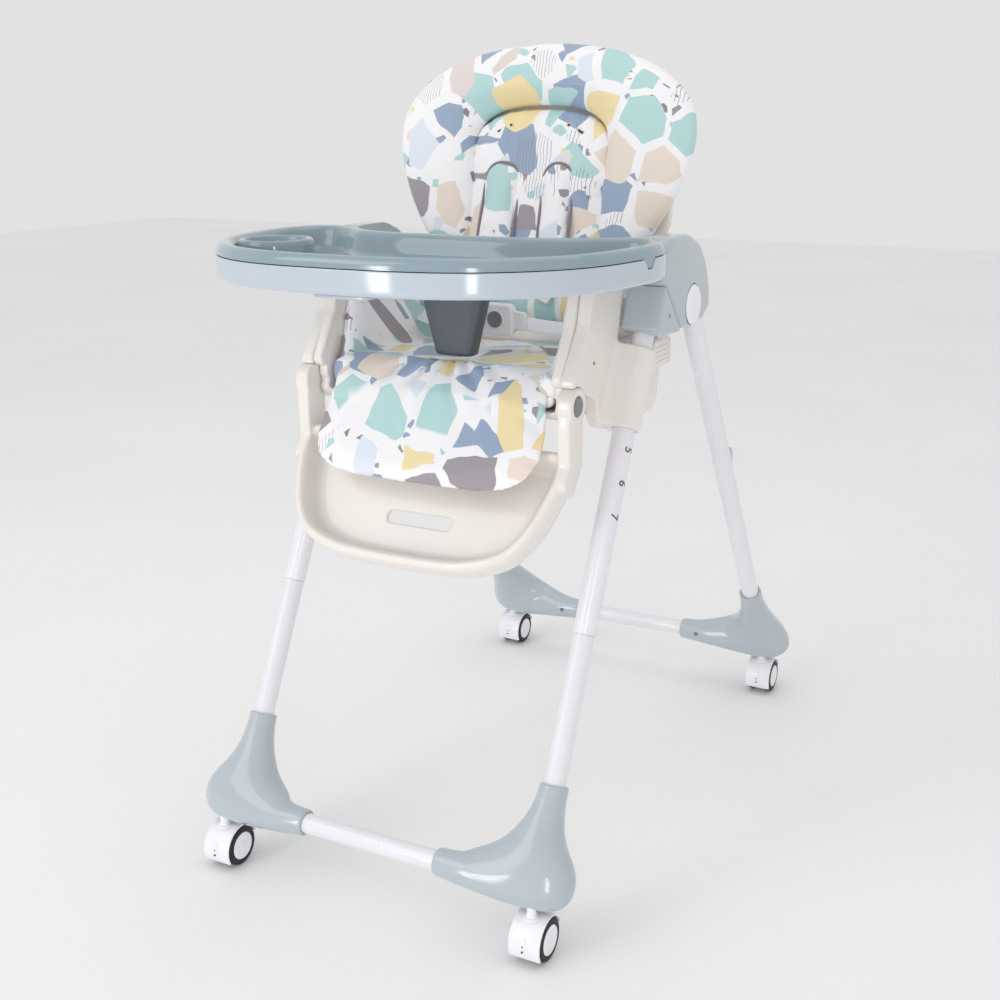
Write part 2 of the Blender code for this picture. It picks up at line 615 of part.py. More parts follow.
def build_side_panels():
    """Cream panels that slide on the front legs and carry the seat."""
    outline = filleted([(-0.1900, TRAY_BOTTOM_Z - GAP, 0.006), (-0.1000, TRAY_BOTTOM_Z - GAP, 0.006),
                        (-0.1200, 0.6650, 0.008), (0.0140, 0.6600, 0.006), (0.0200, 0.6100, 0.006),
                        (0.0100, 0.5620, 0.025), (-0.0900, 0.5540, 0.030), (-0.1720, 0.5680, 0.030),
                        (-0.1820, 0.6080, 0.012), (-0.2060, 0.6160, 0.005), (-0.2520, 0.6300, 0.010),
                        (-0.2050, 0.6950, 0.030)], 4)
    for side_name, side in SIDES.items():
        low, high = mirrored_span(side, PANEL_IN_X, PANEL_OUT_X)
        panel = slab(f"seat_side_panel_{side_name}", outline, low, high, CREAM_PLASTIC)
        join(panel, loft(f"sleeve_{side_name}", [sleeve_ring(z, side) for z in (0.5640, 0.6560)],
                         CREAM_PLASTIC))
        cut(panel, rod(f"sleeve_bore_{side_name}", front_axis(0.50, side), front_axis(0.74, side),
                       TUBE_R + RUNNING_GAP, CREAM_PLASTIC))
        pivot = [Vector((side * x, FOOTREST_Y, FOOTREST_Z)) for x in (0.150, 0.230)]
        cut(panel, rod(f"knuckle_room_{side_name}", pivot[0], pivot[1], KNUCKLE_R + RUNNING_GAP,
                       CREAM_PLASTIC, 32))
        lever_low, lever_high = mirrored_span(side, PANEL_OUT_X + GAP, PANEL_OUT_X + 0.0125)
        lever_outline = filleted([(-0.0300, 0.6540, 0.003), (0.0270, 0.6540, 0.003), (0.0270, 0.6180, 0.003),
                                  (-0.0350, 0.6180, 0.003)], 3)
        slab(f"height_lever_{side_name}", lever_outline, lever_low, lever_high, CREAM_PLASTIC)


def build_seat_pan():
    """Bucket that carries the cushions: floor, side walls that end in armrests, open at the back."""
    side_outline = filleted([(SEAT_FRONT_Y, SEAT_FLOOR_Z, 0.020), (SEAT_BACK_Y, SEAT_FLOOR_Z, 0.010),
                             (SEAT_BACK_Y, 0.665, 0.015), (0.000, 0.700, 0.020), (-0.060, ARM_TOP_Z, 0.030),
                             (-0.182, ARM_TOP_Z + 0.010, 0.010), (-0.205, 0.680, 0.010),
                             (-0.228, 0.645, 0.010), (SEAT_FRONT_Y, 0.630, 0.008)], 4)
    pan = slab("seat_pan", side_outline, -SEAT_WALL_OUT_X, SEAT_WALL_OUT_X, CREAM_PLASTIC)
    cut(pan, box("seat_well", (-SEAT_WALL_IN_X, -0.40, SEAT_FLOOR_Z + SEAT_FLOOR_THICK),
                 (SEAT_WALL_IN_X, 0.20, 0.90), CREAM_PLASTIC))
    for side_name, side in SIDES.items():
        for label, pivot, radius in (("footrest", FOOT_PIVOT, FOOTREST_PIN_R),
                                     ("recline", RECLINE, RECLINE_PIN_R)):
            ends = [Vector((side * x, pivot.y, pivot.z)) for x in (0.150, 0.230)]
            cut(pan, rod(f"{label}_hole_{side_name}", ends[0], ends[1], radius + GAP, CREAM_PLASTIC, 16))


# ---------------------------------------------------------------- back
def back_frame():
    """Matrix whose X runs across the back, Y up along it and Z out of its front."""
    lean = math.radians(BACK_LEAN_DEG)
    up = Vector((0.0, math.sin(lean), math.cos(lean)))
    front = Vector((0.0, -math.cos(lean), math.sin(lean)))
    across = Vector((1.0, 0.0, 0.0))
    matrix = Matrix((across, up, front)).transposed().to_4x4()
    return Matrix.Translation(RECLINE) @ matrix


def mirrored_outline(half, top=None):
    """Closed outline from its +X half, with an optional point on the middle line."""
    middle = [top] if top else []
    return half + middle + [(-x, y) for x, y in reversed(half)]


def shell_outline():
    """The shell is narrow enough to pass between the hub plates at every seat height."""
    half = [(0.152, -0.010), (0.152, 0.070), (0.170, 0.115), (SHELL_HALF_WIDTH, 0.160),
            (SHELL_HALF_WIDTH, 0.300), (0.170, 0.336), (0.120, 0.362), (0.060, 0.374)]
    return mirrored_outline(half)


def bolster_outline():
    """Padded horseshoe round the back: wide above the hubs, its legs ending above the armrests."""
    outer = [(0.156, 0.112), (0.182, 0.150), (0.203, 0.188), (0.2180, 0.228), (BACK_HALF_WIDTH, 0.268),
             (0.2190, 0.304), (0.198, 0.334), (0.160, 0.361), (0.110, 0.379), (0.055, 0.389)]
    inner = [(0.055, 0.300), (0.085, 0.284), (0.100, 0.255), (0.102, 0.112)]
    outline = outer + [(0.0, 0.392)] + [(-x, y) for x, y in reversed(outer)]
    return outline + [(-x, y) for x, y in reversed(inner)] + inner


def cushion_outline():
    """Panel inside the bolster, which reaches down to the seat."""
    inset = 0.001
    half = [(0.150, 0.016), (0.150, 0.112 - inset), (0.102 - inset, 0.112 - inset),
            (0.100 - inset, 0.2545), (0.0848 - inset, 0.2835 - inset), (0.0547, 0.2993 - inset)]
    return mirrored_outline(half)


def slab_in(matrix, name, outline, low, high, material, origin=None):
    """Extrude an outline of a local frame's X and Y along its Z."""
    rings = [[matrix @ Vector((a, b, level)) for a, b in outline] for level in (low, high)]
    return loft(name, rings, material, origin)


def build_back():
    """Reclining back shell with its barrel and pins, and the release handle behind it."""
    frame = back_frame()
    shell = slab_in(frame, "backrest_shell", shell_outline(), SHELL_BACK, SHELL_BACK + BACK_THICK,
                    CREAM_PLASTIC, RECLINE)
    barrel_half = SEAT_WALL_IN_X - 0.002
    join(shell, rod("recline_barrel", Vector((-barrel_half, RECLINE_Y, RECLINE_Z)),
                    Vector((barrel_half, RECLINE_Y, RECLINE_Z)), 0.0115, CREAM_PLASTIC))
    pin_half = SEAT_WALL_OUT_X - 0.001
    join(shell, rod("recline_pin", Vector((-pin_half, RECLINE_Y, RECLINE_Z)),
                    Vector((pin_half, RECLINE_Y, RECLINE_Z)), RECLINE_PIN_R, CREAM_PLASTIC, 16))
    handle_outline = filleted([(-0.060, 0.205, 0.020), (0.060, 0.205, 0.020), (0.060, 0.250, 0.010),
                               (0.042, 0.250, 0.006), (0.042, 0.223, 0.010), (-0.042, 0.223, 0.010),
                               (-0.042, 0.250, 0.006), (-0.060, 0.250, 0.010)], 3)
    slab_in(frame, "recline_handle", handle_outline, -0.034, SHELL_BACK - GAP, GREY_PLASTIC, RECLINE)


# ---------------------------------------------------------------- footrest
def footrest_frame():
    """Matrix with X across, Y down along the calf board and Z out of its front."""
    lean = math.radians(FOOTREST_LEAN_DEG)
    down = Vector((0.0, -math.sin(lean), -math.cos(lean)))
    front = Vector((0.0, -math.cos(lean), math.sin(lean)))
    across = Vector((1.0, 0.0, 0.0))
    return Matrix.Translation(FOOT_PIVOT) @ Matrix((across, down, front)).transposed().to_4x4()


def build_footrest():
    """Calf board with a raised rim and a grip slot, on two knuckles."""
    frame = footrest_frame()
    arm_in, arm_out = KNUCKLE_IN_X, KNUCKLE_OUT_X
    outer = mirrored_outline([(0.1900, 0.046), (0.1900, 0.055), (0.1864, 0.086), (0.1790, 0.122),
                              (0.1650, 0.159), (0.1400, 0.190), (0.0950, 0.209), (0.040, BOARD_END)])
    inner = mirrored_outline([(0.1660, 0.020), (0.1680, 0.086), (0.1620, 0.119), (0.1480, 0.151),
                              (0.1260, 0.175), (0.088, 0.190), (0.036, BOARD_END - BOARD_RIM)])
    board = slab_in(frame, "footrest", outer, BOARD_BACK, BOARD_FRONT, CREAM_PLASTIC, FOOT_PIVOT)
    cut(board, slab_in(frame, "footrest_pocket", inner, BOARD_BACK + BOARD_THICK, 0.060, CREAM_PLASTIC))
    slot = filleted([(-GRIP_HALF, GRIP_TOP, 0.005), (GRIP_HALF, GRIP_TOP, 0.005),
                     (GRIP_HALF, GRIP_BOTTOM, 0.005), (-GRIP_HALF, GRIP_BOTTOM, 0.005)], 3)
    cut(board, slab_in(frame, "footrest_slot", slot, -0.080, 0.060, CREAM_PLASTIC))
    arm = [(0.004, 0.0195), (0.030, 0.004), (0.068, BOARD_FRONT), (0.090, BOARD_FRONT),
           (0.090, BOARD_BACK + 0.004), (0.050, BOARD_BACK + 0.004), (-0.004, -0.0195)]
    for side_name, side in SIDES.items():
        ends = [Vector((side * x, FOOTREST_Y, FOOTREST_Z)) for x in (KNUCKLE_IN_X, KNUCKLE_OUT_X)]
        points = [frame @ Vector((0.0, v, n)) for v, n in arm]
        low, high = mirrored_span(side, arm_in, arm_out - 0.002)
        join(board, slab(f"arm_{side_name}", filleted([(p.y, p.z, 0.006) for p in points], 3), low, high,
                         CREAM_PLASTIC))
        join(board, rod(f"knuckle_{side_name}", ends[0], ends[1], KNUCKLE_R, CREAM_PLASTIC))
        bore = [Vector((side * x, FOOTREST_Y, FOOTREST_Z)) for x in (0.150, 0.230)]
        cut(board, rod(f"knuckle_bore_{side_name}", bore[0], bore[1], FOOTREST_PIN_R + GAP,
                       CREAM_PLASTIC, 16))
        recess = [Vector((side * x, FOOTREST_Y, FOOTREST_Z)) for x in (KNUCKLE_OUT_X - 0.004, 0.230)]
        cut(board, rod(f"knuckle_recess_{side_name}", recess[0], recess[1], FOOTREST_BUTTON_R + RUNNING_GAP,
                       CREAM_PLASTIC, 24))
        start = Vector((side * (SEAT_WALL_IN_X + 0.002), FOOTREST_Y, FOOTREST_Z))
        face = KNUCKLE_OUT_X - 0.0005 - SEAT_WALL_IN_X - 0.002
        profile = [(0.0, 0.0), (FOOTREST_PIN_R, 0.0), (FOOTREST_PIN_R, face), (FOOTREST_BUTTON_R, face),
                   (FOOTREST_BUTTON_R, face + 0.002), (FOOTREST_BUTTON_R - 0.0015, face + 0.003),
                   (0.0, face + 0.0034)]
        turned(f"footrest_button_{side_name}", start, ends[1], profile, BUTTON_PLASTIC, 24, origin=ends[1])


# ---------------------------------------------------------------- tray
def tray_outline(inset=0.0, steps=3):
    """Plan of the tray: round front, long sides and a belly scoop at the back."""
    half = [(0.100, 0.008), (0.168, 0.035), (0.222, 0.084), (0.252, 0.142), (0.2665, 0.222), (0.2640, 0.278),
            (0.2440, 0.314), (0.2100, 0.324), (0.1720, 0.310), (0.1300, 0.282), (0.0700, 0.268)]
    half = [(x, TRAY_FRONT_Y + y) for x, y in half]
    loop = [(0.0, TRAY_FRONT_Y)] + half + [(0.0, TRAY_FRONT_Y + 0.266)] + [(-x, y) for x, y in reversed(half)]
    curve = smooth_loop([Vector(p) for p in loop], steps)
    if inset == 0.0:
        return curve
    count = len(curve)
    moved = []
    for i, point in enumerate(curve):
        tangent = (curve[(i + 1) % count] - curve[i - 1]).normalized()
        moved.append(point + Vector((-tangent.y, tangent.x)) * inset)
    return moved


def build_tray():
    """Tray base with its release, the lift-out insert with a cup well, and the crotch post."""
    base = slab("tray_base", tray_outline(-TRAY_LIP), TRAY_BOTTOM_Z, TRAY_SPLIT_Z, TRAY_PLASTIC, "XY")
    cut(base, slab("tray_base_well", tray_outline(0.020), TRAY_BOTTOM_Z + 0.004, 0.85, TRAY_PLASTIC, "XY"))
    insert = slab("tray_insert", tray_outline(0.0), TRAY_SPLIT_Z + GAP, TRAY_TOP_Z, INSERT_PLASTIC, "XY")
    join(insert, slab("insert_tub", tray_outline(0.0208), TRAY_BOTTOM_Z + 0.006, TRAY_SPLIT_Z + 0.004,
                      INSERT_PLASTIC, "XY"))
    cut(insert, slab("insert_well", tray_outline(0.030), TRAY_BOTTOM_Z + 0.013, 0.85, INSERT_PLASTIC, "XY"))
    cup_centre = Vector((-0.185, TRAY_FRONT_Y + 0.150))
    cut(insert, rod("cup_well", Vector((*cup_centre, TRAY_BOTTOM_Z + 0.009)), Vector((*cup_centre, 0.85)),
                    0.036, INSERT_PLASTIC, 28))

    def post_ring(z, half_width, half_depth):
        return [Vector((half_width * c, POST_Y + half_depth * s, z)) for c, s in POST_SECTION]
    rings = [post_ring(TRAY_BOTTOM_Z - GAP, 0.0500, 0.0170), post_ring(0.7150, 0.0430, 0.0160),
             post_ring(0.6800, 0.0340, 0.0145), post_ring(0.6500, 0.0265, 0.0130),
             post_ring(0.6460, 0.0245, 0.0110)]
    loft("crotch_post", rings, SLATE_PLASTIC)
    near, far = TRAY_FRONT_Y + 0.014, TRAY_FRONT_Y + 0.042
    half = RELEASE_HALF
    release = filleted([(-half, near, 0.004), (half, near, 0.004), (half, far, 0.004), (-half, far, 0.004)], 3)
    slab("tray_release", release, TRAY_BOTTOM_Z - 0.0065, TRAY_BOTTOM_Z - GAP, TRAY_PLASTIC, "XY")


POST_SECTION = filleted([(-1.0, -1.0, 0.55), (1.0, -1.0, 0.55), (1.0, 1.0, 0.55), (-1.0, 1.0, 0.55)], 4)


# ---------------------------------------------------------------- soft goods
def build_soft_goods():
    """Plain closed solids for the cushions, the flap, the pads and the harness."""
    frame = back_frame()
    face = SHELL_BACK + BACK_THICK + GAP
    slab_in(frame, "back_cushion", cushion_outline(), face, 0.018, FABRIC, RECLINE)
    slab_in(frame, "back_bolster", bolster_outline(), face, 0.030, FABRIC, RECLINE)
    seat_low = SEAT_FLOOR_Z + SEAT_FLOOR_THICK + GAP
    half = SEAT_WALL_IN_X - 0.002
    outline = filleted([(SEAT_FRONT_Y + 0.004, seat_low, 0.004), (-0.002, seat_low, 0.004),
                        (-0.006, 0.628, 0.010), (SEAT_FRONT_Y + 0.010, 0.632, 0.012)], 3)
    slab("seat_cushion", outline, -half, half, FABRIC)
    flap_frame = footrest_frame()
    flap = mirrored_outline([(0.158, 0.033), (0.162, 0.090), (0.150, 0.132), (0.100, 0.142)])
    slab_in(flap_frame, "leg_flap", flap, BOARD_BACK + BOARD_THICK + GAP, BOARD_FRONT + 0.006, FABRIC,
            FOOT_PIVOT)
    for side_name, side in SIDES.items():
        pad = filleted([(side * 0.052 - 0.018, 0.085, 0.010), (side * 0.052 + 0.018, 0.085, 0.010),
                        (side * 0.046 + 0.019, 0.225, 0.012), (side * 0.046 - 0.019, 0.225, 0.012)], 3)
        slab_in(frame, f"shoulder_pad_{side_name}", pad, 0.018 + GAP, 0.034, FABRIC, RECLINE)
    run = [(SEAT_WALL_IN_X - 0.0009, -0.020, 0.660), (0.110, -0.058, 0.668), (0.060, -0.080, 0.674),
           (0.026, -0.0868, 0.678)]
    strap = [Vector(point) for point in run] + [Vector((-x, y, z)) for x, y, z in reversed(run)]
    rings = []
    for k, point in enumerate(strap):
        way = (strap[min(k + 1, len(strap) - 1)] - strap[max(k - 1, 0)]).normalized()
        out = way.cross(Vector((0.0, 0.0, 1.0))).normalized()
        rings.append([point + out * a + Vector((0.0, 0.0, b)) for a, b in
                      ((-0.001, -0.0125), (0.001, -0.0125), (0.001, 0.0125), (-0.001, 0.0125))])
    loft("lap_strap", rings, WEBBING)
    buckle = filleted([(BUCKLE_X - 0.025, 0.658, 0.008), (BUCKLE_X + 0.025, 0.658, 0.008),
                       (BUCKLE_X + 0.022, 0.700, 0.008), (BUCKLE_X - 0.022, 0.700, 0.008)], 3)
    rings = [[Vector((a, y, b)) for a, b in buckle] for y in (-0.102, -0.088)]
    loft("harness_buckle", rings, WHITE_PLASTIC)


build_legs()
build_feet()
build_casters()
build_hub()
build_tray_hooks()
build_side_panels()
build_seat_pan()
build_back()
build_footrest()
build_tray()
build_soft_goods()
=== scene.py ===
"""Looks of the folding baby high chair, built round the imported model.

Pieces are modelled in metres in the design's own frame: +Z up, the sitter faces -Y, hub axis at
y = -0.001. add_piece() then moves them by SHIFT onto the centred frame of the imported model.
"""
import json
import math

import bmesh
import bpy
from mathutils import Matrix, Vector, noise


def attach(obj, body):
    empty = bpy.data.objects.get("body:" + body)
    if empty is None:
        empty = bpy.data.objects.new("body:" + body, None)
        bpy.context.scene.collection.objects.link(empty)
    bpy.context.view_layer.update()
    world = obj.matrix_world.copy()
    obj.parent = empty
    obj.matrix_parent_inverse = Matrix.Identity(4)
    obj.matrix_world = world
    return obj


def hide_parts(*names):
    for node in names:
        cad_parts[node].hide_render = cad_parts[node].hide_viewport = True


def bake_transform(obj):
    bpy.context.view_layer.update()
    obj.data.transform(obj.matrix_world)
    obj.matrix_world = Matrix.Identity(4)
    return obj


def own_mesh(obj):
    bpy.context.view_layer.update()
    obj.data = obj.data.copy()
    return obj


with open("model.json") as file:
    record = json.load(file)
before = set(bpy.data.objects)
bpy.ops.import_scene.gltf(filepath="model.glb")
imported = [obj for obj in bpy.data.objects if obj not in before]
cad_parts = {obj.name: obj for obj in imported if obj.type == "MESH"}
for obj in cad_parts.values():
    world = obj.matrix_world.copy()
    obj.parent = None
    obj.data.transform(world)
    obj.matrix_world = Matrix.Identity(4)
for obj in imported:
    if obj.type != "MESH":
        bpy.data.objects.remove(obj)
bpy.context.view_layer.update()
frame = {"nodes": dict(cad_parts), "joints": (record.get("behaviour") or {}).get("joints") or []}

JOINTS = {joint["name"]: joint for joint in frame["joints"]}
SIDES = {"left": 1.0, "right": -1.0}
ENDS = ("front", "rear")
HUB_DESIGN_Y = -0.001
SHIFT = Vector((0.0, JOINTS["frame_fold"]["pos_m"][1] - HUB_DESIGN_Y, 0.0))


def pivot(joint):
    """A joint's point in the design's own frame."""
    return Vector(JOINTS[joint]["pos_m"]) - SHIFT


HUB = pivot("frame_fold")
RECLINE = pivot("back_recline")
FOOT_PIVOT = pivot("footrest_raise")
BACK_LEAN = math.radians(12.0)
FOOTREST_LEAN = math.radians(36.7)

# frame tubes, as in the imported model
TUBE_R = 0.014
REAR_TUBE_R = 0.0135
LOWER_TUBE_R = 0.013
BAR_R = 0.0125
FRONT_X = 0.2115
FRONT_LEAN = 0.4975
FRONT_AXIS_Y = -0.0772
REAR_TOP_X = 0.2245
REAR_FOOT_X = 0.2310
REAR_LEAN = -0.6068
REAR_AXIS_Y = 0.0276
FRONT_SEAM_Z = 0.3396
REAR_SEAM_Z = 0.3950
FRONT_COLLAR_Z = 0.1803
REAR_COLLAR_Z = 0.1990
BAR_Z = 0.088
FRONT_BAR_Y = -0.4080
REAR_BAR_Y = 0.4000
FRONT_HEEL_Y = -0.3900
REAR_HEEL_Y = 0.4160
HEEL_REACH = 0.0430
FOOT_COLLAR_X = 0.095
WHEEL_R = 0.026
TRAY_FRONT_Y = -0.4400
TRAY_BOTTOM_Z = 0.7500
TRAY_SPLIT_Z = 0.7790
TRAY_TOP_Z = 0.7930
SIM_FRAMES = 20


# ---------------------------------------------------------------- small geometry tools
def srgb(red, green, blue):
    """Linear colour from 0-255 display values."""
    def linear(value):
        value /= 255.0
        return value / 12.92 if value <= 0.04045 else ((value + 0.055) / 1.055) ** 2.4
    return (linear(red), linear(green), linear(blue), 1.0)


def front_axis(z, side=1.0):
    return Vector((side * FRONT_X, FRONT_AXIS_Y + FRONT_LEAN * (z - HUB.z), z))


def rear_axis(z, side=1.0):
    fall = (HUB.z - z) / (HUB.z - REAR_COLLAR_Z)
    x = REAR_TOP_X + (REAR_FOOT_X - REAR_TOP_X) * fall
    return Vector((side * x, REAR_AXIS_Y + REAR_LEAN * (z - HUB.z), z))


def plane_frame(origin, up):
    """Matrix with X across the chair, Y along up and Z out of the front."""
    up = up.normalized()
    across = Vector((1.0, 0.0, 0.0))
    return Matrix.Translation(origin) @ Matrix((across, up, across.cross(up))).transposed().to_4x4()


BACK = plane_frame(RECLINE, Vector((0.0, math.sin(BACK_LEAN), math.cos(BACK_LEAN))))
DOWN = Vector((0.0, -math.sin(FOOTREST_LEAN), -math.cos(FOOTREST_LEAN)))
BOARD = Matrix.Translation(FOOT_PIVOT) @ Matrix(
    (Vector((1.0, 0.0, 0.0)), DOWN, Vector((0.0, DOWN.z, -DOWN.y)))).transposed().to_4x4()


def mirrored(half, first=None, last=None):
    """Closed outline from its +X half, with optional points on the middle line."""
    start = [first] if first else []
    end = [last] if last else []
    return start + list(half) + end + [(-x, y) for x, y in reversed(half)]


def curve_points(points, steps, closed=True):
    """Catmull-Rom curve through the points."""
    rows = [Vector(point) for point in points]
    count = len(rows)
    if not closed:
        rows = [2 * rows[0] - rows[1]] + rows + [2 * rows[-1] - rows[-2]]
    spans = range(count) if closed else range(count - 1)
    curve = []
    for i in spans:
        if closed:
            p0, p1, p2, p3 = (rows[(i + k - 1) % count] for k in range(4))
        else:
            p0, p1, p2, p3 = rows[i:i + 4]
        for k in range(steps):
            t = k / steps
            curve.append(0.5 * (2 * p1 + (p2 - p0) * t + (2 * p0 - 5 * p1 + 4 * p2 - p3) * t * t
                                + (3 * p1 - p0 - 3 * p2 + p3) * t ** 3))
    if not closed:
        curve.append(rows[-2])
    return curve


def filleted(corners, steps=5):
    """Outline from (a, b, radius) corners; each corner becomes an arc."""
    outline = []
    count = len(corners)
    for i, (a, b, radius) in enumerate(corners):
        here = Vector((a, b))
        before = Vector(corners[i - 1][:2]) - here
        after = Vector(corners[(i + 1) % count][:2]) - here
        half = before.angle(after) / 2
        reach = min(radius / math.tan(half), before.length * 0.49, after.length * 0.49)
        start = here + before.normalized() * reach
        end = here + after.normalized() * reach
        centre = here + (before.normalized() + after.normalized()).normalized() * (reach / math.cos(half))
        swing = (start - centre).angle_signed(end - centre)
        for k in range(steps + 1):
            outline.append(centre + Matrix.Rotation(-swing * k / steps, 2) @ (start - centre))
    return outline


def turning(outline):
    """+1 for an anticlockwise outline, -1 for a clockwise one."""
    area = sum(a.x * b.y - b.x * a.y for a, b in zip(outline, outline[1:] + outline[:1]))
    return 1.0 if area > 0 else -1.0


def inset(outline, distance):
    """The outline moved inwards."""
    outline = [Vector(point) for point in outline]
    way = turning(outline)
    count = len(outline)
    moved = []
    for i, point in enumerate(outline):
        ahead = (outline[(i + 1) % count] - point).normalized()
        behind = (point - outline[i - 1]).normalized()
        normal = Vector((-(ahead.y + behind.y), ahead.x + behind.x)).normalized() * way
        lean = max(normal.dot(Vector((-ahead.y, ahead.x)) * way), 0.6)
        moved.append(point + normal * distance / lean)
    return moved


def shrunk(outline, share, centre=None):
    """The outline scaled towards a point."""
    if centre is None:
        centre = sum((Vector(p) for p in outline), Vector((0.0, 0.0))) / len(outline)
    centre = Vector(centre)
    return [centre + (Vector(p) - centre) * share for p in outline]


def skin(rings, caps=True):
    """Vertices and faces of a row of closed rings."""
    count = len(rings[0])
    verts = [tuple(point) for ring in rings for point in ring]
    faces = []
    for r in range(len(rings) - 1):
        for i in range(count):
            j = (i + 1) % count
            faces.append((r * count + i, r * count + j, (r + 1) * count + j, (r + 1) * count + i))
    if caps:
        faces.append(tuple(range(count))[::-1])
        faces.append(tuple(range((len(rings) - 1) * count, len(rings) * count)))
    return verts, faces


def merged(*parts):
    """Several (vertices, faces) pairs as one."""
    verts, faces = [], []
    for part_verts, part_faces in parts:
        start = len(verts)
        verts += part_verts
        faces += [tuple(i + start for i in face) for face in part_faces]
    return verts, faces


def turned(start, end, profile, segments=40):
    """Closed turned body from (radius, distance) pairs, which start and end near the axis."""
    direction = (end - start).normalized()
    helper = Vector((1.0, 0.0, 0.0)) if abs(direction.x) < 0.9 else Vector((0.0, 0.0, 1.0))
    u = direction.cross(helper).normalized()
    v = direction.cross(u)
    rings = []
    for radius, distance in profile:
        centre = start + direction * distance
        ring = []
        for k in range(segments):
            angle = math.tau * k / segments
            ring.append(centre + (u * math.cos(angle) + v * math.sin(angle)) * max(radius, 1e-4))
        rings.append(ring)
    return skin(rings)


def round_profile(profile, radius, steps=4):
    """A turned profile with its corners rounded."""
    points = [Vector(p) for p in profile]
    result = [points[0]]
    for before, here, after in zip(points, points[1:], points[2:]):
        a, b = before - here, after - here
        if a.length < 1e-6 or b.length < 1e-6:
            continue
        reach = min(radius, a.length * 0.45, b.length * 0.45)
        start, end = here + a.normalized() * reach, here + b.normalized() * reach
        for k in range(steps + 1):
            t = k / steps
            result.append(start.lerp(here, t).lerp(here.lerp(end, t), t))
    result.append(points[-1])
    return [tuple(p) for p in result]


def place_on(matrix):
    """Places (a, b) at a level of a frame whose Z is the level."""
    return lambda a, b, level: matrix @ Vector((a, b, level))


def across_x(a, b, level):
    return Vector((level, a, b))


def upright(a, b, level):
    return Vector((a, b, level))


def rounded_slab(outline, low, high, radius, place, steps=4):
    """Extruded outline whose edges are rounded."""
    outline = [Vector(p) for p in outline]
    rings = []
    for level, way in ((low, 1.0), (high, -1.0)):
        part = []
        for k in range(steps + 1):
            angle = math.pi / 2 * k / steps
            ring = inset(outline, radius * (1 - math.sin(angle)))
            part.append([place(p.x, p.y, level + way * radius * (1 - math.cos(angle))) for p in ring])
        rings += part if way > 0 else part[::-1]
    return skin(rings)


def pad(outline, low, high, edge, crown, place, rings=10, centre=None):
    """Stuffed shape: a rounded edge and a crowned middle on both faces."""
    outline = [Vector(p) for p in outline]
    middle, half = (low + high) / 2, (high - low) / 2
    edge_rings = []
    for k in range(-6, 7):
        angle = math.pi / 2 * k / 6
        ring = inset(outline, edge * (1 - math.cos(angle)))
        edge_rings.append([place(p.x, p.y, middle + half * math.sin(angle)) for p in ring])
    inner = inset(outline, edge)
    lower, upper = [], []
    for k in range(1, rings):
        share = 1 - k / rings
        rise = crown * (1 - share * share)
        ring = shrunk(inner, share, centre)
        upper.append([place(p.x, p.y, high + rise) for p in ring])
        lower.append([place(p.x, p.y, low - rise * 0.15) for p in ring])
    return skin(lower[::-1] + edge_rings + upper)


def swept(points, radius, segments=10, closed=False):
    """Round cord along a run of points."""
    points = [Vector(p) for p in points]
    count = len(points)
    rings = []
    normal = None
    for i, point in enumerate(points):
        if closed:
            way = (points[(i + 1) % count] - points[i - 1]).normalized()
        else:
            way = (points[min(i + 1, count - 1)] - points[max(i - 1, 0)]).normalized()
        if normal is None:
            normal = way.cross(Vector((0.3, 0.2, 0.9))).normalized()
        normal = (normal - way * normal.dot(way)).normalized()
        other = way.cross(normal)
        rings.append([point + (normal * math.cos(math.tau * k / segments)
                               + other * math.sin(math.tau * k / segments)) * radius
                      for k in range(segments)])
    if not closed:
        return skin(rings)
    verts, faces = skin(rings, caps=False)
    last = (count - 1) * segments
    for k in range(segments):
        j = (k + 1) % segments
        faces.append((last + k, last + j, j, k))
    return verts, faces


def ribbon(points, facing, width, thickness):
    """Flat strap along a run of points; facing gives its outward direction at each point."""
    points = [Vector(p) for p in points]
    count = len(points)
    rings = []
    for i, point in enumerate(points):
        way = (points[min(i + 1, count - 1)] - points[max(i - 1, 0)]).normalized()
        out = Vector(facing[i] if isinstance(facing, list) else facing)
        out = (out - way * out.dot(way)).normalized()
        side = way.cross(out)
        ring = []
        for a, b in ((-1.0, 0.0), (-0.94, 0.8), (0.0, 1.0), (0.94, 0.8), (1.0, 0.0), (0.94, -0.8), (0.0, -1.0),
                     (-0.94, -0.8)):
            ring.append(point + side * a * width / 2 + out * b * thickness / 2)
        rings.append(ring)
    return skin(rings)


# ---------------------------------------------------------------- pieces
def add_piece(name, shape, material, body=None, nodes=(), sharp=35.0):
    """New object from (vertices, faces); it rides on a body and may replace CAD nodes."""
    mesh = bpy.data.meshes.new(name)
    verts, faces = shape
    mesh.from_pydata([tuple(Vector(v) + SHIFT) for v in verts], [], faces)
    bm = bmesh.new()
    bm.from_mesh(mesh)
    bmesh.ops.remove_doubles(bm, verts=bm.verts, dist=1e-6)
    bmesh.ops.recalc_face_normals(bm, faces=bm.faces)
    bm.to_mesh(mesh)
    bm.free()
    mesh.materials.append(material)
    mesh.shade_smooth()
    if sharp:
        mesh.set_sharp_from_angle(angle=math.radians(sharp))
    piece = bpy.data.objects.new(name, mesh)
    bpy.context.scene.collection.objects.link(piece)
    if body:
        settle(piece, body, nodes)
    return piece


def settle(piece, body, nodes=()):
    """The piece moves with a body and stands for CAD nodes."""
    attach(piece, body)
    if nodes:
        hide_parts(*nodes)


def apply_modifiers(piece):
    """Turn what the modifiers make into the piece's own mesh."""
    depsgraph = bpy.context.evaluated_depsgraph_get()
    mesh = bpy.data.meshes.new_from_object(piece.evaluated_get(depsgraph), depsgraph=depsgraph)
    piece.modifiers.clear()
    piece.data = mesh


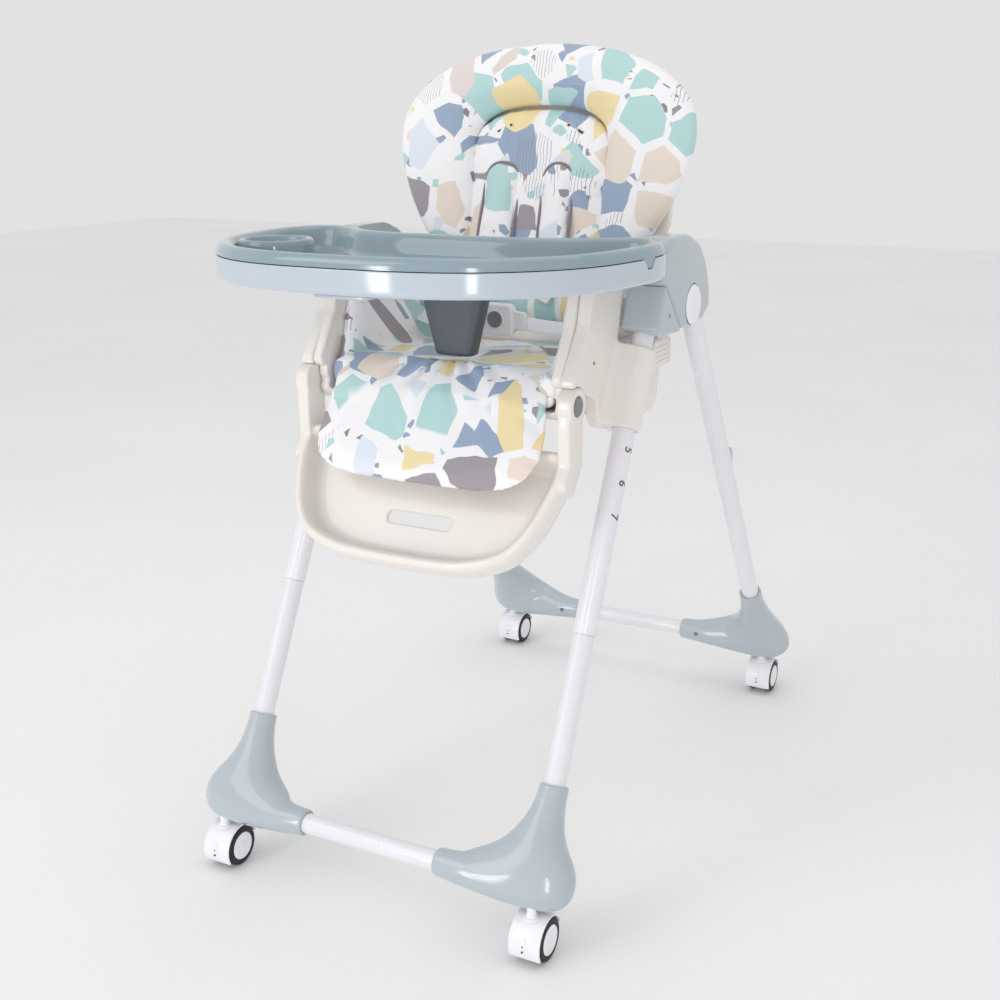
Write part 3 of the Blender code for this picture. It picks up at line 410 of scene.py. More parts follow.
def carve(piece, shape, operation="DIFFERENCE"):
    """Cut a shape out of a piece, or join it on."""
    tool = add_piece("carving_tool", shape, piece.data.materials[0])
    modifier = piece.modifiers.new("carve", "BOOLEAN")
    modifier.operation = operation
    modifier.object = tool
    modifier.solver = "EXACT"
    apply_modifiers(piece)
    bpy.data.objects.remove(tool)


def remould(piece, voxel, smoothing, factor=0.5):
    """One closed moulded skin with softened edges."""
    modifier = piece.modifiers.new("mould", "REMESH")
    modifier.mode = "VOXEL"
    modifier.voxel_size = voxel
    modifier.use_smooth_shade = True
    smooth = piece.modifiers.new("edges", "SMOOTH")
    smooth.iterations = smoothing
    smooth.factor = factor
    apply_modifiers(piece)
    piece.data.shade_smooth()


def moulded_node(node, material, body, voxel=0.0018, smoothing=6):
    """A CAD node's shape as one moulding with softened edges."""
    piece = bpy.data.objects.new(node + "_moulding", frame["nodes"][node].data.copy())
    piece.data.materials.clear()
    piece.data.materials.append(material)
    bpy.context.scene.collection.objects.link(piece)
    remould(piece, voxel, smoothing)
    settle(piece, body, (node,))
    return piece


def puff(piece, voxel, pressure, cap, smoothing=2):
    """Swell a pad under pressure so that its cloth wrinkles, then keep the result."""
    modifier = piece.modifiers.new("remesh", "REMESH")
    modifier.mode = "VOXEL"
    modifier.voxel_size = voxel
    apply_modifiers(piece)
    start = [v.co.copy() for v in piece.data.vertices]
    cloth = piece.modifiers.new("cloth", "CLOTH")
    settings = cloth.settings
    settings.use_pressure = True
    settings.uniform_pressure_force = pressure
    settings.effector_weights.gravity = 0.0
    settings.tension_stiffness = 20
    settings.bending_stiffness = 0.6
    settings.quality = 6
    cloth.point_cache.frame_start = 1
    cloth.point_cache.frame_end = SIM_FRAMES
    scene = bpy.context.scene
    for step in range(1, SIM_FRAMES + 1):
        scene.frame_set(step)
    apply_modifiers(piece)
    for vertex, was in zip(piece.data.vertices, start):
        move = vertex.co - was
        if move.length > cap:
            vertex.co = was + move.normalized() * cap
    scene.frame_set(1)
    smooth = piece.modifiers.new("smooth", "SMOOTH")
    smooth.iterations = smoothing
    smooth.factor = 0.5
    divide = piece.modifiers.new("divide", "SUBSURF")
    divide.levels = 1
    divide.render_levels = 1
    apply_modifiers(piece)
    piece.data.shade_smooth()


def crumple(piece, matrix, depth):
    """Move the vertices by a function of their place in a frame: depth(a, b, level) gives a move along Z."""
    full = Matrix.Translation(SHIFT) @ matrix
    back = full.inverted()
    for vertex in piece.data.vertices:
        local = back @ vertex.co
        local.z += depth(local.x, local.y, local.z)
        vertex.co = full @ local


# ---------------------------------------------------------------- materials
def blank(name, roughness, sheen=0.0, coat=0.0, specular=0.5):
    material = bpy.data.materials.new(name)
    material.use_nodes = True
    tree = material.node_tree
    shader = tree.nodes["Principled BSDF"]
    shader.inputs["Roughness"].default_value = roughness
    shader.inputs["Specular IOR Level"].default_value = specular
    shader.inputs["Sheen Weight"].default_value = sheen
    shader.inputs["Coat Weight"].default_value = coat
    shader.inputs["Coat Roughness"].default_value = 0.12
    return material, tree, shader


def link(tree, source, output, target, socket):
    tree.links.new(source.outputs[output], target.inputs[socket])


def noise_of(tree, where, output, scale, detail=3.0):
    texture = tree.nodes.new("ShaderNodeTexNoise")
    texture.inputs["Scale"].default_value = scale
    texture.inputs["Detail"].default_value = detail
    link(tree, where, output, texture, "Vector")
    return texture


def ramp_of(tree, source, output, stops, constant=False):
    ramp = tree.nodes.new("ShaderNodeValToRGB")
    ramp.color_ramp.interpolation = "CONSTANT" if constant else "LINEAR"
    elements = ramp.color_ramp.elements
    while len(elements) > 1:
        elements.remove(elements[-1])
    elements[0].position, elements[0].color = stops[0]
    for place, colour in stops[1:]:
        elements.new(place).color = colour
    link(tree, source, output, ramp, "Fac")
    return ramp


def sum_of(tree, operation, a, b=None, third=None):
    """Maths node; each value is a number or a (node, output) pair."""
    made = tree.nodes.new("ShaderNodeMath")
    made.operation = operation
    for i, value in enumerate((a, b, third)):
        if value is None:
            continue
        if isinstance(value, tuple):
            tree.links.new(value[0].outputs[value[1]], made.inputs[i])
        else:
            made.inputs[i].default_value = value
    return made


def mixed(tree, share, a, b):
    """Colour mix; colours are values or (node, output) pairs."""
    mix = tree.nodes.new("ShaderNodeMix")
    mix.data_type = "RGBA"
    tree.links.new(share[0].outputs[share[1]], mix.inputs[0])
    for socket, value in ((mix.inputs[6], a), (mix.inputs[7], b)):
        if isinstance(value[0], bpy.types.Node):
            tree.links.new(value[0].outputs[value[1]], socket)
        else:
            socket.default_value = value
    return mix


def bumped(tree, shader, heights, strength, distance):
    """Bump from a (node, output) pair."""
    bump = tree.nodes.new("ShaderNodeBump")
    bump.inputs["Strength"].default_value = strength
    bump.inputs["Distance"].default_value = distance
    tree.links.new(heights[0].outputs[heights[1]], bump.inputs["Height"])
    link(tree, bump, "Normal", shader, "Normal")


def tinted(colour, share):
    return tuple(channel * share for channel in colour[:3]) + (1.0,)


def plastic(name, colour, roughness=0.32, grain=0.25, coat=0.15, mottle=0.035, dirt=0.06):
    """Moulded plastic: faint flow marks, fine grain and duller patches."""
    material, tree, shader = blank(name, roughness, coat=coat)
    place = tree.nodes.new("ShaderNodeTexCoord")
    flow = noise_of(tree, place, "Object", 9.0)
    tone = ramp_of(tree, flow, "Fac", [(0.3, tinted(colour, 1 - mottle)), (0.7, tinted(colour, 1 + mottle))])
    link(tree, tone, "Color", shader, "Base Color")
    worn = noise_of(tree, place, "Object", 38.0)
    dull = sum_of(tree, "MULTIPLY_ADD", (worn, "Fac"), dirt * 2, roughness - dirt)
    link(tree, dull, 0, shader, "Roughness")
    fine = noise_of(tree, place, "Object", 1400.0, 1.0)
    bumped(tree, shader, (fine, "Fac"), grain, 0.00012)
    return material


def painted(name, colour):
    """Powder coat on steel: slight orange peel under a clear gloss."""
    material, tree, shader = blank(name, 0.26, coat=0.4)
    place = tree.nodes.new("ShaderNodeTexCoord")
    peel = noise_of(tree, place, "Object", 420.0, 2.0)
    bumped(tree, shader, (peel, "Fac"), 0.22, 0.00025)
    cloud = noise_of(tree, place, "Object", 14.0)
    tone = ramp_of(tree, cloud, "Fac", [(0.3, tinted(colour, 0.975)), (0.7, tinted(colour, 1.015))])
    link(tree, tone, "Color", shader, "Base Color")
    gloss = sum_of(tree, "MULTIPLY_ADD", (cloud, "Fac"), 0.12, 0.20)
    link(tree, gloss, 0, shader, "Roughness")
    return material


def rubber(name, colour):
    material, tree, shader = blank(name, 0.55)
    place = tree.nodes.new("ShaderNodeTexCoord")
    dust = noise_of(tree, place, "Object", 120.0)
    tone = ramp_of(tree, dust, "Fac", [(0.35, colour), (0.8, tinted(colour, 1.9))])
    link(tree, tone, "Color", shader, "Base Color")
    grain = noise_of(tree, place, "Object", 2200.0, 1.0)
    bumped(tree, shader, (grain, "Fac"), 0.35, 0.0002)
    return material


def woven(name, colour, pitch, groove_shade=0.12, roughness=0.75):
    """Webbing or binding tape: crossing ribs, with painted shade darkening the colour into the grooves between them."""
    material, tree, shader = blank(name, roughness, sheen=0.35)
    place = tree.nodes.new("ShaderNodeTexCoord")
    rib = tree.nodes.new("ShaderNodeTexWave")
    rib.bands_direction = "DIAGONAL"
    rib.inputs["Scale"].default_value = 0.3 / pitch
    rib.inputs["Distortion"].default_value = 0.6
    link(tree, place, "Object", rib, "Vector")
    # The tone follows the rib height: the darker colour in the grooves is painted shade.
    tone = ramp_of(tree, rib, "Fac", [(0.0, tinted(colour, 1 - groove_shade)), (1.0, tinted(colour, 1.02))])
    link(tree, tone, "Color", shader, "Base Color")
    bumped(tree, shader, (rib, "Fac"), 0.5, pitch * 0.4)
    return material


WHITE_CLOTH = srgb(250, 248, 250)
YELLOW = srgb(244, 224, 172)
MINT = srgb(183, 219, 218)
BLUE = srgb(152, 171, 196)
CHARCOAL = srgb(160, 152, 160)
PINK = srgb(228, 216, 212)
PEACH = srgb(237, 222, 209)
ICE = srgb(226, 233, 245)


def shards(tree, where, output, scale, margin, offset):
    """Rounded shards: (share of the point in a shard, a random colour of its cell)."""
    shift = tree.nodes.new("ShaderNodeVectorMath")
    shift.operation = "ADD"
    shift.inputs[1].default_value = offset
    link(tree, where, output, shift, 0)
    cell = tree.nodes.new("ShaderNodeTexVoronoi")
    cell.inputs["Scale"].default_value = scale
    cell.inputs["Randomness"].default_value = 0.85
    link(tree, shift, 0, cell, "Vector")
    edge = tree.nodes.new("ShaderNodeTexVoronoi")
    edge.feature = "DISTANCE_TO_EDGE"
    edge.inputs["Scale"].default_value = scale
    edge.inputs["Randomness"].default_value = 0.85
    link(tree, shift, 0, edge, "Vector")
    pick = tree.nodes.new("ShaderNodeSeparateColor")
    link(tree, cell, "Color", pick, "Color")
    limit = sum_of(tree, "MULTIPLY_ADD", (pick, 1), 0.10, margin)
    ahead = sum_of(tree, "SUBTRACT", (edge, "Distance"), (limit, 0))
    inside = sum_of(tree, "MULTIPLY", (ahead, 0), 90.0)
    inside.use_clamp = True
    return inside, pick, shift


def printed(name):
    """White cloth printed with rounded shards, pencil hatching and small chips."""
    material, tree, shader = blank(name, 0.55, sheen=0.25)
    place = tree.nodes.new("ShaderNodeAttribute")
    place.attribute_name = "print_place"
    wobble = noise_of(tree, place, "Vector", 26.0, 1.0)
    move = tree.nodes.new("ShaderNodeVectorMath")
    move.operation = "MULTIPLY_ADD"
    move.inputs[1].default_value = (0.016, 0.016, 0.0)
    link(tree, wobble, "Color", move, 0)
    link(tree, place, "Vector", move, 2)

    ground = ramp_of(tree, noise_of(tree, place, "Vector", 30.0), "Fac",
                     [(0.3, tinted(WHITE_CLOTH, 0.985)), (0.7, WHITE_CLOTH)])
    colour = (ground, "Color")

    chips, chip, _ = shards(tree, move, 0, 62.0, 0.14, (0.31, 0.17, 0.0))
    rare = sum_of(tree, "GREATER_THAN", (chip, 0), 0.70)
    chip_share = sum_of(tree, "MULTIPLY", (chips, 0), (rare, 0))
    chip_tone = ramp_of(tree, chip, 2, [(0.0, CHARCOAL), (0.36, BLUE), (0.62, tinted(CHARCOAL, 0.8)),
                                        (0.74, MINT), (0.88, YELLOW)], True)
    colour = (mixed(tree, (chip_share, 0), colour, (chip_tone, "Color")), 2)

    faint, ghost, _ = shards(tree, move, 0, 15.0, 0.09, (0.12, 0.43, 0.0))
    some = sum_of(tree, "GREATER_THAN", (ghost, 0), 0.62)
    ghost_share = sum_of(tree, "MULTIPLY", (faint, 0), (some, 0))
    ghost_tone = ramp_of(tree, ghost, 2, [(0.0, BLUE), (0.3, MINT), (0.55, PINK), (0.75, ICE)], True)
    colour = (mixed(tree, (ghost_share, 0), colour, (ghost_tone, "Color")), 2)

    main, cell, moved = shards(tree, move, 0, 16.5, 0.045, (0.0, 0.0, 0.0))
    tone = ramp_of(tree, cell, 0, [(0.0, YELLOW), (0.15, MINT), (0.36, BLUE), (0.46, CHARCOAL), (0.56, PINK),
                                   (0.68, PEACH), (0.75, ICE), (0.80, WHITE_CLOTH)], True)
    plain = sum_of(tree, "LESS_THAN", (cell, 0), 0.80)
    main_share = sum_of(tree, "MULTIPLY", (main, 0), (plain, 0))
    colour = (mixed(tree, (main_share, 0), colour, (tone, "Color")), 2)

    lines = tree.nodes.new("ShaderNodeTexWave")
    lines.bands_direction = "X"
    lines.inputs["Scale"].default_value = 62.0
    lines.inputs["Distortion"].default_value = 2.6
    lines.inputs["Detail"].default_value = 1.0
    lines.inputs["Detail Scale"].default_value = 0.25
    link(tree, moved, 0, lines, "Vector")
    thin = sum_of(tree, "GREATER_THAN", (lines, "Fac"), 0.90)
    hatched = sum_of(tree, "GREATER_THAN", (cell, 0), 0.80)
    pencil = sum_of(tree, "MULTIPLY", (thin, 0), (hatched, 0))
    pencil_share = sum_of(tree, "MULTIPLY", (pencil, 0), (main, 0))
    softened = sum_of(tree, "MULTIPLY", (pencil_share, 0), 0.7)
    colour = (mixed(tree, (softened, 0), colour, tinted(CHARCOAL, 0.7)), 2)
    tree.links.new(colour[0].outputs[colour[1]], shader.inputs["Base Color"])

    crease = noise_of(tree, place, "Vector", 55.0, 4.0)
    weave = noise_of(tree, place, "Vector", 1500.0, 1.0)
    both = sum_of(tree, "MULTIPLY_ADD", (weave, "Fac"), 0.10, (crease, "Fac"))
    bumped(tree, shader, (both, 0), 0.35, 0.0016)
    return material


FEET_GREY = plastic("grey_moulding", srgb(181, 191, 198), 0.17, 0.10, 0.5, dirt=0.03)
TRAY_GREY = plastic("tray_moulding", srgb(190, 200, 210), 0.10, 0.06, 0.7, dirt=0.02)
INSERT = plastic("insert_moulding", srgb(139, 160, 170), 0.09, 0.06, 0.8, dirt=0.02)
CREAM = plastic("cream_moulding", srgb(238, 232, 226), 0.26, 0.05, 0.35, mottle=0.015, dirt=0.015)
WHITE = plastic("white_moulding", srgb(244, 243, 248), 0.28, 0.08, 0.2, dirt=0.02)
TUBE_PAINT = painted("tube_paint", srgb(236, 234, 240))
POST_SLATE = plastic("post_moulding", srgb(80, 88, 96), 0.38, 0.3, 0.05)
BUTTON = plastic("button_moulding", srgb(125, 125, 133), 0.35)
# Near-black: on the screws and in the strap slits it is painted shade of their holes; the small caster eyes use it too.
DARK_AND_HOLE_SHADE = plastic("dark_and_painted_hole_shade", srgb(52, 54, 60), 0.42)
TYRE = rubber("tyre_rubber", srgb(24, 20, 26))
WEBBING = woven("strap_webbing", srgb(240, 238, 243), 0.0016)
PIPING = woven("piping_tape", srgb(143, 136, 146), 0.0012, 0.2)
PALE_TAPE = woven("slit_binding", srgb(240, 226, 214), 0.0010, 0.15)
MARK_INK = plastic("mark_ink", srgb(96, 96, 108), 0.6)
PRINT = printed("printed_cloth")


def lay_print(piece, matrix, flatten, offset=(0.0, 0.0)):
    """Keep each point's place on the cloth, so that the print stays on it when the piece bends."""
    back = (Matrix.Translation(SHIFT) @ matrix).inverted()
    places = []
    for vertex in piece.data.vertices:
        local = back @ vertex.co
        places += [local.x + offset[0] + 1.0, local.y + offset[1] + 1.0, local.z * flatten]
    attribute = piece.data.attributes.new("print_place", "FLOAT_VECTOR", "POINT")
    attribute.data.foreach_set("vector", places)


# ---------------------------------------------------------------- frame
def screw(name, point, direction, radius, body):
    """Screw head a little below its surface; its dark colour is painted shade of the screw hole."""
    profile = [(0.0, -0.003), (radius, -0.003), (radius, 0.0002), (radius * 0.86, 0.0006), (radius * 0.5, 0.0001),
               (radius * 0.36, -0.0007), (0.0, -0.0008)]
    end = point + Vector(direction)
    return add_piece(name, turned(point, end, profile, 20), DARK_AND_HOLE_SHADE, body, sharp=50.0)


def tube(name, start, end, radius, body, neck):
    """Painted tube; a lower tube has a neck that enters the tube above it, an upper one a rolled lip."""
    length = (end - start).length
    if neck:
        profile = [(0.0, 0.0), (radius, 0.0), (radius, length - 0.0016), (radius - 0.0006, length - 0.0004),
                   (0.0113, length + 0.0002), (0.0113, length + 0.003), (0.0, length + 0.003)]
    else:
        profile = [(0.0, 0.0045), (0.0118, 0.0040), (0.0119, 0.0004), (radius - 0.0014, -0.0002), (radius - 0.0003, 0.0004),
                   (radius, 0.0018), (radius, length), (0.0, length)]
    add_piece(name + "_tube", turned(start, end, profile, 48), TUBE_PAINT, body, (name,))


def leg_mark(name, character, z, facing, body):
    """A height mark: one raised digit lying along a front leg."""
    curve = bpy.data.curves.new(name, "FONT")
    curve.body = character
    curve.size = 0.016
    curve.extrude = 0.0006
    curve.offset = 0.0003
    text = bpy.data.objects.new(name + "_text", curve)
    bpy.context.scene.collection.objects.link(text)
    mesh = bpy.data.meshes.new_from_object(text.evaluated_get(bpy.context.evaluated_depsgraph_get()))
    bpy.data.objects.remove(text)
    piece = bpy.data.objects.new(name, mesh)
    bpy.context.scene.collection.objects.link(piece)
    mesh.materials.clear()
    mesh.materials.append(MARK_INK)
    remould(piece, 0.00035, 1)
    along = (front_axis(0.6) - front_axis(0.5)).normalized()
    out = Vector(facing)
    out = (out - along * out.dot(along)).normalized()
    across = along.cross(out)
    middle = sum((v.co for v in piece.data.vertices), Vector()) / len(piece.data.vertices)
    for vertex in piece.data.vertices:
        a, b, level = vertex.co - middle
        angle = b / TUBE_R
        ray = out * math.cos(angle) + across * math.sin(angle)
        vertex.co = front_axis(z) - along * a + ray * (TUBE_R + level * 0.35) + SHIFT
    settle(piece, body)


def build_legs():
    legs = (("front", front_axis, TUBE_R, 0.7020, FRONT_SEAM_Z, 0.120),
            ("rear", rear_axis, REAR_TUBE_R, 0.7060, REAR_SEAM_Z, 0.130))
    for end, axis, radius, top, seam, bottom in legs:
        body = end + "_frame"
        for side_name, side in SIDES.items():
            tube(f"{end}_upper_tube_{side_name}", axis(seam, side), axis(top, side), radius, body, False)
            tube(f"{end}_lower_tube_{side_name}", axis(bottom, side), axis(seam, side), LOWER_TUBE_R, body, True)
            pip = axis(seam + 0.016, side)
            outward = Vector((side, -0.2 if end == "front" else 0.2, 0.0))
            face = pip + outward.normalized() * (radius - 0.0015)
            knob = [(0.0, 0.0), (0.0036, 0.0), (0.0036, 0.0022), (0.0028, 0.0030), (0.0012, 0.0034), (0.0, 0.0034)]
            add_piece(f"{end}_snap_button_{side_name}", turned(face, face + outward, knob, 20), TUBE_PAINT, body)
        y = FRONT_BAR_Y if end == "front" else REAR_BAR_Y
        bar_profile = [(0.0, 0.0), (BAR_R, 0.0), (BAR_R, 0.364), (0.0, 0.364)]
        add_piece(f"{end}_crossbar_tube", turned(Vector((-0.182, y, BAR_Z)), Vector((0.182, y, BAR_Z)), bar_profile, 48),
                  TUBE_PAINT, body, (f"{end}_crossbar",))
    for character, z in (("5", 0.5420), ("6", 0.5050), ("7", 0.4680)):
        leg_mark(f"height_mark_{character}", character, z, (0.93, -0.40, 0.0), "front_frame")


def foot_shape(axis, stem_x, heel_y, collar_z, bar_y, side):
    """Elbow from the leg's collar, round the heel, to the crossbar's collar."""
    up = (axis(0.5) - axis(0.2)).normalized()
    leg = axis(BAR_Z)
    collar = (collar_z - BAR_Z) / up.z
    heel_x = stem_x + HEEL_REACH
    bar = BAR_R + 0.004
    stations = [
        (leg.x + 0.0175, collar, leg.x - 0.0175, collar, 0.0175, 0.0, 0.0),
        (leg.x + 0.0178, collar * 0.80, leg.x - 0.0190, collar * 0.82, 0.0185, 0.1, 0.0),
        (leg.x + 0.0250, collar * 0.45, leg.x - 0.0280, collar * 0.58, 0.0235, 0.5, 0.0),
        (heel_x - 0.0030, 0.018, leg.x - 0.0450, collar * 0.37, 0.0285, 1.0, 0.0),
        (heel_x - 0.0015, -0.010, leg.x - 0.0560, collar * 0.295, 0.0310, 1.0, 0.1),
        (heel_x - 0.0180, -0.0275, leg.x - 0.0660, collar * 0.245, 0.0310, 1.0, 0.25),
        (stem_x - 0.0120, -0.0285, leg.x - 0.0780, collar * 0.205, 0.0270, 1.0, 0.55),
        (stem_x - 0.0600, -0.0225, 0.1230, 0.0185, 0.0205, 1.0, 1.0),
        (FOOT_COLLAR_X, -bar, FOOT_COLLAR_X, bar, bar, 1.0, 1.0),
    ]
    out = Vector((1.0, 0.0, 0.0))
    rings = []
    for outer_x, outer_b, inner_x, inner_b, half, to_heel, to_bar in curve_points(stations, 7, closed=False):
        y = leg.y + (heel_y - leg.y) * to_heel + (bar_y - heel_y) * to_bar
        base = Vector((0.0, y, BAR_Z))
        rise = up.lerp(Vector((0.0, 0.0, 1.0)), min(max(to_bar, 0.0), 1.0)).normalized()
        outer = base + out * outer_x + rise * outer_b
        inner = base + out * inner_x + rise * inner_b
        centre = (outer + inner) / 2
        arm = (outer - inner) / 2
        across = out.cross(rise)
        rings.append([centre + arm * math.cos(math.tau * k / 48) + across * half * math.sin(math.tau * k / 48)
                      for k in range(48)])
    for _ in range(14):
        rings = [rings[0]] + [relaxed(*three) for three in zip(rings, rings[1:], rings[2:])] + [rings[-1]]
    first, last = lip(rings[0], up), lip(rings[-1], Vector((-1.0, 0.0, 0.0)))
    rings = first + rings[1:-1] + last[::-1]
    return skin([[Vector((side * p.x, p.y, p.z)) for p in ring] for ring in rings])


def relaxed(before, ring, after):
    """A ring moved towards the middle of its neighbours."""
    return [p * 0.5 + (a + b) * 0.25 for a, p, b in zip(before, ring, after)]


def lip(ring, out):
    """Rolled lip of a collar with a narrow recess round its tube."""
    centre = sum(ring, Vector()) / len(ring)
    steps = ((0.77, -0.0050), (0.775, -0.0004), (0.80, 0.0003), (0.86, 0.0006), (0.94, 0.0004), (0.985, -0.0006),
             (1.0, -0.0022))
    return [[centre + (p - centre) * share + out * rise for p in ring] for share, rise in steps]


def build_feet():
    ends = (("front", front_axis, 0.2211, FRONT_HEEL_Y, FRONT_COLLAR_Z, FRONT_BAR_Y, -1.0),
            ("rear", rear_axis, 0.2335, REAR_HEEL_Y, REAR_COLLAR_Z, REAR_BAR_Y, 1.0))
    for end, axis, stem_x, heel_y, collar_z, bar_y, outward in ends:
        for side_name, side in SIDES.items():
            shape = foot_shape(axis, stem_x, heel_y, collar_z, bar_y, side)
            add_piece(f"{end}_foot_{side_name}_elbow", shape, FEET_GREY, end + "_frame",
                      (f"{end}_foot_{side_name}",), sharp=60.0)
            for label, x, z, reach in (("bar", 0.125, BAR_Z + 0.0005, 0.0190), ("heel", 0.185, BAR_Z + 0.012, 0.0270)):
                point = Vector((side * x, (bar_y if label == "bar" else heel_y) - outward * reach, z))
                screw(f"{end}_{label}_screw_{side_name}", point, (0.0, -outward, 0.0), 0.0030, end + "_frame")


# ---------------------------------------------------------------- casters
def hood_outline(radius_out, radius_in, centre):
    """Section of the hood: low in front, over the wheels and down behind them."""
    arc = [math.radians(-28 + 190 * k / 40) for k in range(41)]
    outer = [centre + Vector((-math.cos(a), math.sin(a))) * radius_out for a in arc]
    inner = [centre + Vector((-math.cos(a), math.sin(a))) * radius_in for a in arc]
    return outer + inner[::-1]


def build_casters():
    for end, stem_x, stem_y in (("front", 0.2211, -0.4144), ("rear", 0.2335, 0.4034)):
        for side_name, side in SIDES.items():
            where = f"{end}_{side_name}"
            body = f"caster_{where}"
            x = side * stem_x
            centre = Vector((stem_y + 0.0086, WHEEL_R))
            hood = rounded_slab(hood_outline(WHEEL_R + 0.0040, WHEEL_R + 0.0014, centre), x - 0.0198, x + 0.0198,
                                0.0009, across_x, 3)
            web_line = [(centre.x - 0.0282, centre.y + 0.004), (centre.x - 0.0262, centre.y - 0.010),
                        (centre.x - 0.008, centre.y - 0.0135), (centre.x + 0.010, centre.y - 0.011),
                        (centre.x + 0.0145, centre.y + 0.002), (centre.x + 0.0145, centre.y + 0.0235),
                        (centre.x, centre.y + 0.0285), (centre.x - 0.0180, centre.y + 0.0215)]
            web = rounded_slab(curve_points(web_line, 5), x - 0.0056, x + 0.0056, 0.0010, across_x, 2)
            piece = add_piece(f"caster_hood_{where}", merged(hood, web), WHITE, body,
                              (f"caster_housing_{where}",))
            notch = rounded_slab([(centre.x - 0.05, centre.y - 0.030), (centre.x - 0.0100, centre.y - 0.030),
                                  (centre.x - 0.0200, centre.y - 0.0105), (centre.x - 0.05, centre.y - 0.0105)],
                                 x - 0.0060, x + 0.0200, 0.0010, across_x, 2)
            del notch
            collar = [(0.0, 0.0), (0.0098, 0.0), (0.0104, 0.0012), (0.0098, 0.0026), (0.0068, 0.0040), (0.0056, 0.0062),
                      (0.0055, 0.0300), (0.0, 0.0300)]
            foot = Vector((x, stem_y, 0.0538))
            add_piece(f"caster_neck_{where}", turned(foot, foot + Vector((0, 0, 1)), round_profile(collar, 0.0006), 28),
                      WHITE, body)
            tab_at = Vector((x - 0.001, centre.x, centre.y))
            front = Vector((0.0, -math.cos(math.radians(12)), math.sin(math.radians(12))))
            up = Vector((0.0, math.sin(math.radians(12)), math.cos(math.radians(12))))
            tab_point = tab_at + front * (WHEEL_R + 0.0036)
            frame_of_tab = Matrix.Translation(tab_point) @ Matrix((Vector((1, 0, 0)), up, front)).transposed().to_4x4()
            tab = filleted([(-0.0036, -0.0066, 0.001), (0.0036, -0.0066, 0.001), (0.0036, 0.0066, 0.002),
                            (-0.0036, 0.0066, 0.002)], 3)
            add_piece(f"caster_tab_{where}", rounded_slab(tab, -0.0012, 0.0011, 0.0006, place_on(frame_of_tab), 2),
                      WHITE, body)
            eye = [(0.0, -0.0010), (0.0010, -0.0010), (0.0010, 0.0013), (0.0, 0.0013)]
            for label, along in (("upper", -0.0030), ("lower", -0.0095)):
                spot = tab_point + up * along
                add_piece(f"caster_{label}_eye_{where}", turned(spot, spot + front, eye, 12), DARK_AND_HOLE_SHADE, body)
            build_wheels(where, x, side, centre)
            build_brake(where, x, centre)


def build_wheels(where, x, side, centre):
    """Soft tyres on white discs."""
    tread = [(0.0168, -0.0056), (0.0182, -0.0062), (0.0226, -0.0062), (0.0247, -0.0052), (0.0257, -0.0030), (0.0260, 0.0),
             (0.0257, 0.0030), (0.0247, 0.0052), (0.0226, 0.0062), (0.0182, 0.0062), (0.0168, 0.0056), (0.0168, 0.0),
             (0.0168, -0.0056)]
    disc = [(0.0, -0.0060), (0.0060, -0.0060), (0.0070, -0.0052), (0.0150, -0.0050), (0.0176, -0.0058), (0.0180, -0.0050),
            (0.0180, 0.0056), (0.0172, 0.0066), (0.0120, 0.0072), (0.0118, 0.0068), (0.0060, 0.0070), (0.0, 0.0071)]
    for label, way in (("outer", side), ("inner", -side)):
        middle = Vector((x + way * 0.0135, centre.x, centre.y))
        face = middle + Vector((way, 0.0, 0.0))
        body = f"wheel_body_{label}_{where}"
        verts, faces = turned(middle, face, round_profile(tread, 0.0006, 2)[:-1], 48)
        count = 48
        faces = faces[:-2]
        rows = len(verts) // count
        for k in range(count):
            j = (k + 1) % count
            faces.append(((rows - 1) * count + k, (rows - 1) * count + j, j, k))
        add_piece(f"tyre_{label}_{where}", (verts, faces), TYRE, body, (f"wheel_{label}_{where}",), 60.0)
        add_piece(f"wheel_disc_{label}_{where}", turned(middle, face, round_profile(disc, 0.0004, 2), 40), WHITE, body)


def build_brake(where, x, centre):
    """Pedal with a ribbed tread behind the wheels."""
    origin = centre + Vector((0.0205, 0.0070))
    line = [(-0.0035, -0.0045, 0.001), (0.0045, -0.0090, 0.001), (0.0150, -0.0040, 0.002), (0.0135, 0.0010, 0.001),
            (0.0050, 0.0040, 0.001), (-0.0035, 0.0040, 0.001)]
    outline = filleted([(origin.x + a, origin.y + b, r) for a, b, r in line], 3)
    shape = rounded_slab(outline, x - 0.0052, x + 0.0052, 0.0008, across_x, 2)
    ribs = []
    for k in range(3):
        at = Vector((0.0, origin.x + 0.0065 + 0.0028 * k, origin.y + 0.0034 - 0.0010 * k))
        ribs.append(swept([at + Vector((x - 0.0042, 0, 0)), at + Vector((x, 0, 0)), at + Vector((x + 0.0042, 0, 0))],
                          0.0006, 8))
    add_piece(f"brake_pedal_{where}", merged(shape, *ribs), BUTTON, f"brake_body_{where}",
              (f"caster_brake_{where}",))


# ---------------------------------------------------------------- fold hub
def domed(outline, low, high, large, share, crown, place, centre, rings=8):
    """Moulding with a square back edge, a rounded front edge and a crowned face."""
    outline = [Vector(p) for p in outline]
    made = [[place(p.x, p.y, low) for p in inset(outline, 0.0008)], [place(p.x, p.y, low + 0.0008) for p in outline]]
    for k in range(9):
        angle = math.pi / 2 * k / 8
        ring = shrunk(outline, 1 - share * (1 - math.cos(angle)), centre)
        made.append([place(p.x, p.y, high - large + large * math.sin(angle)) for p in ring])
    for k in range(1, rings):
        inner = 1 - k / rings
        ring = shrunk(outline, (1 - share) * inner, centre)
        made.append([place(p.x, p.y, high + crown * (1 - inner * inner)) for p in ring])
    return skin(made)


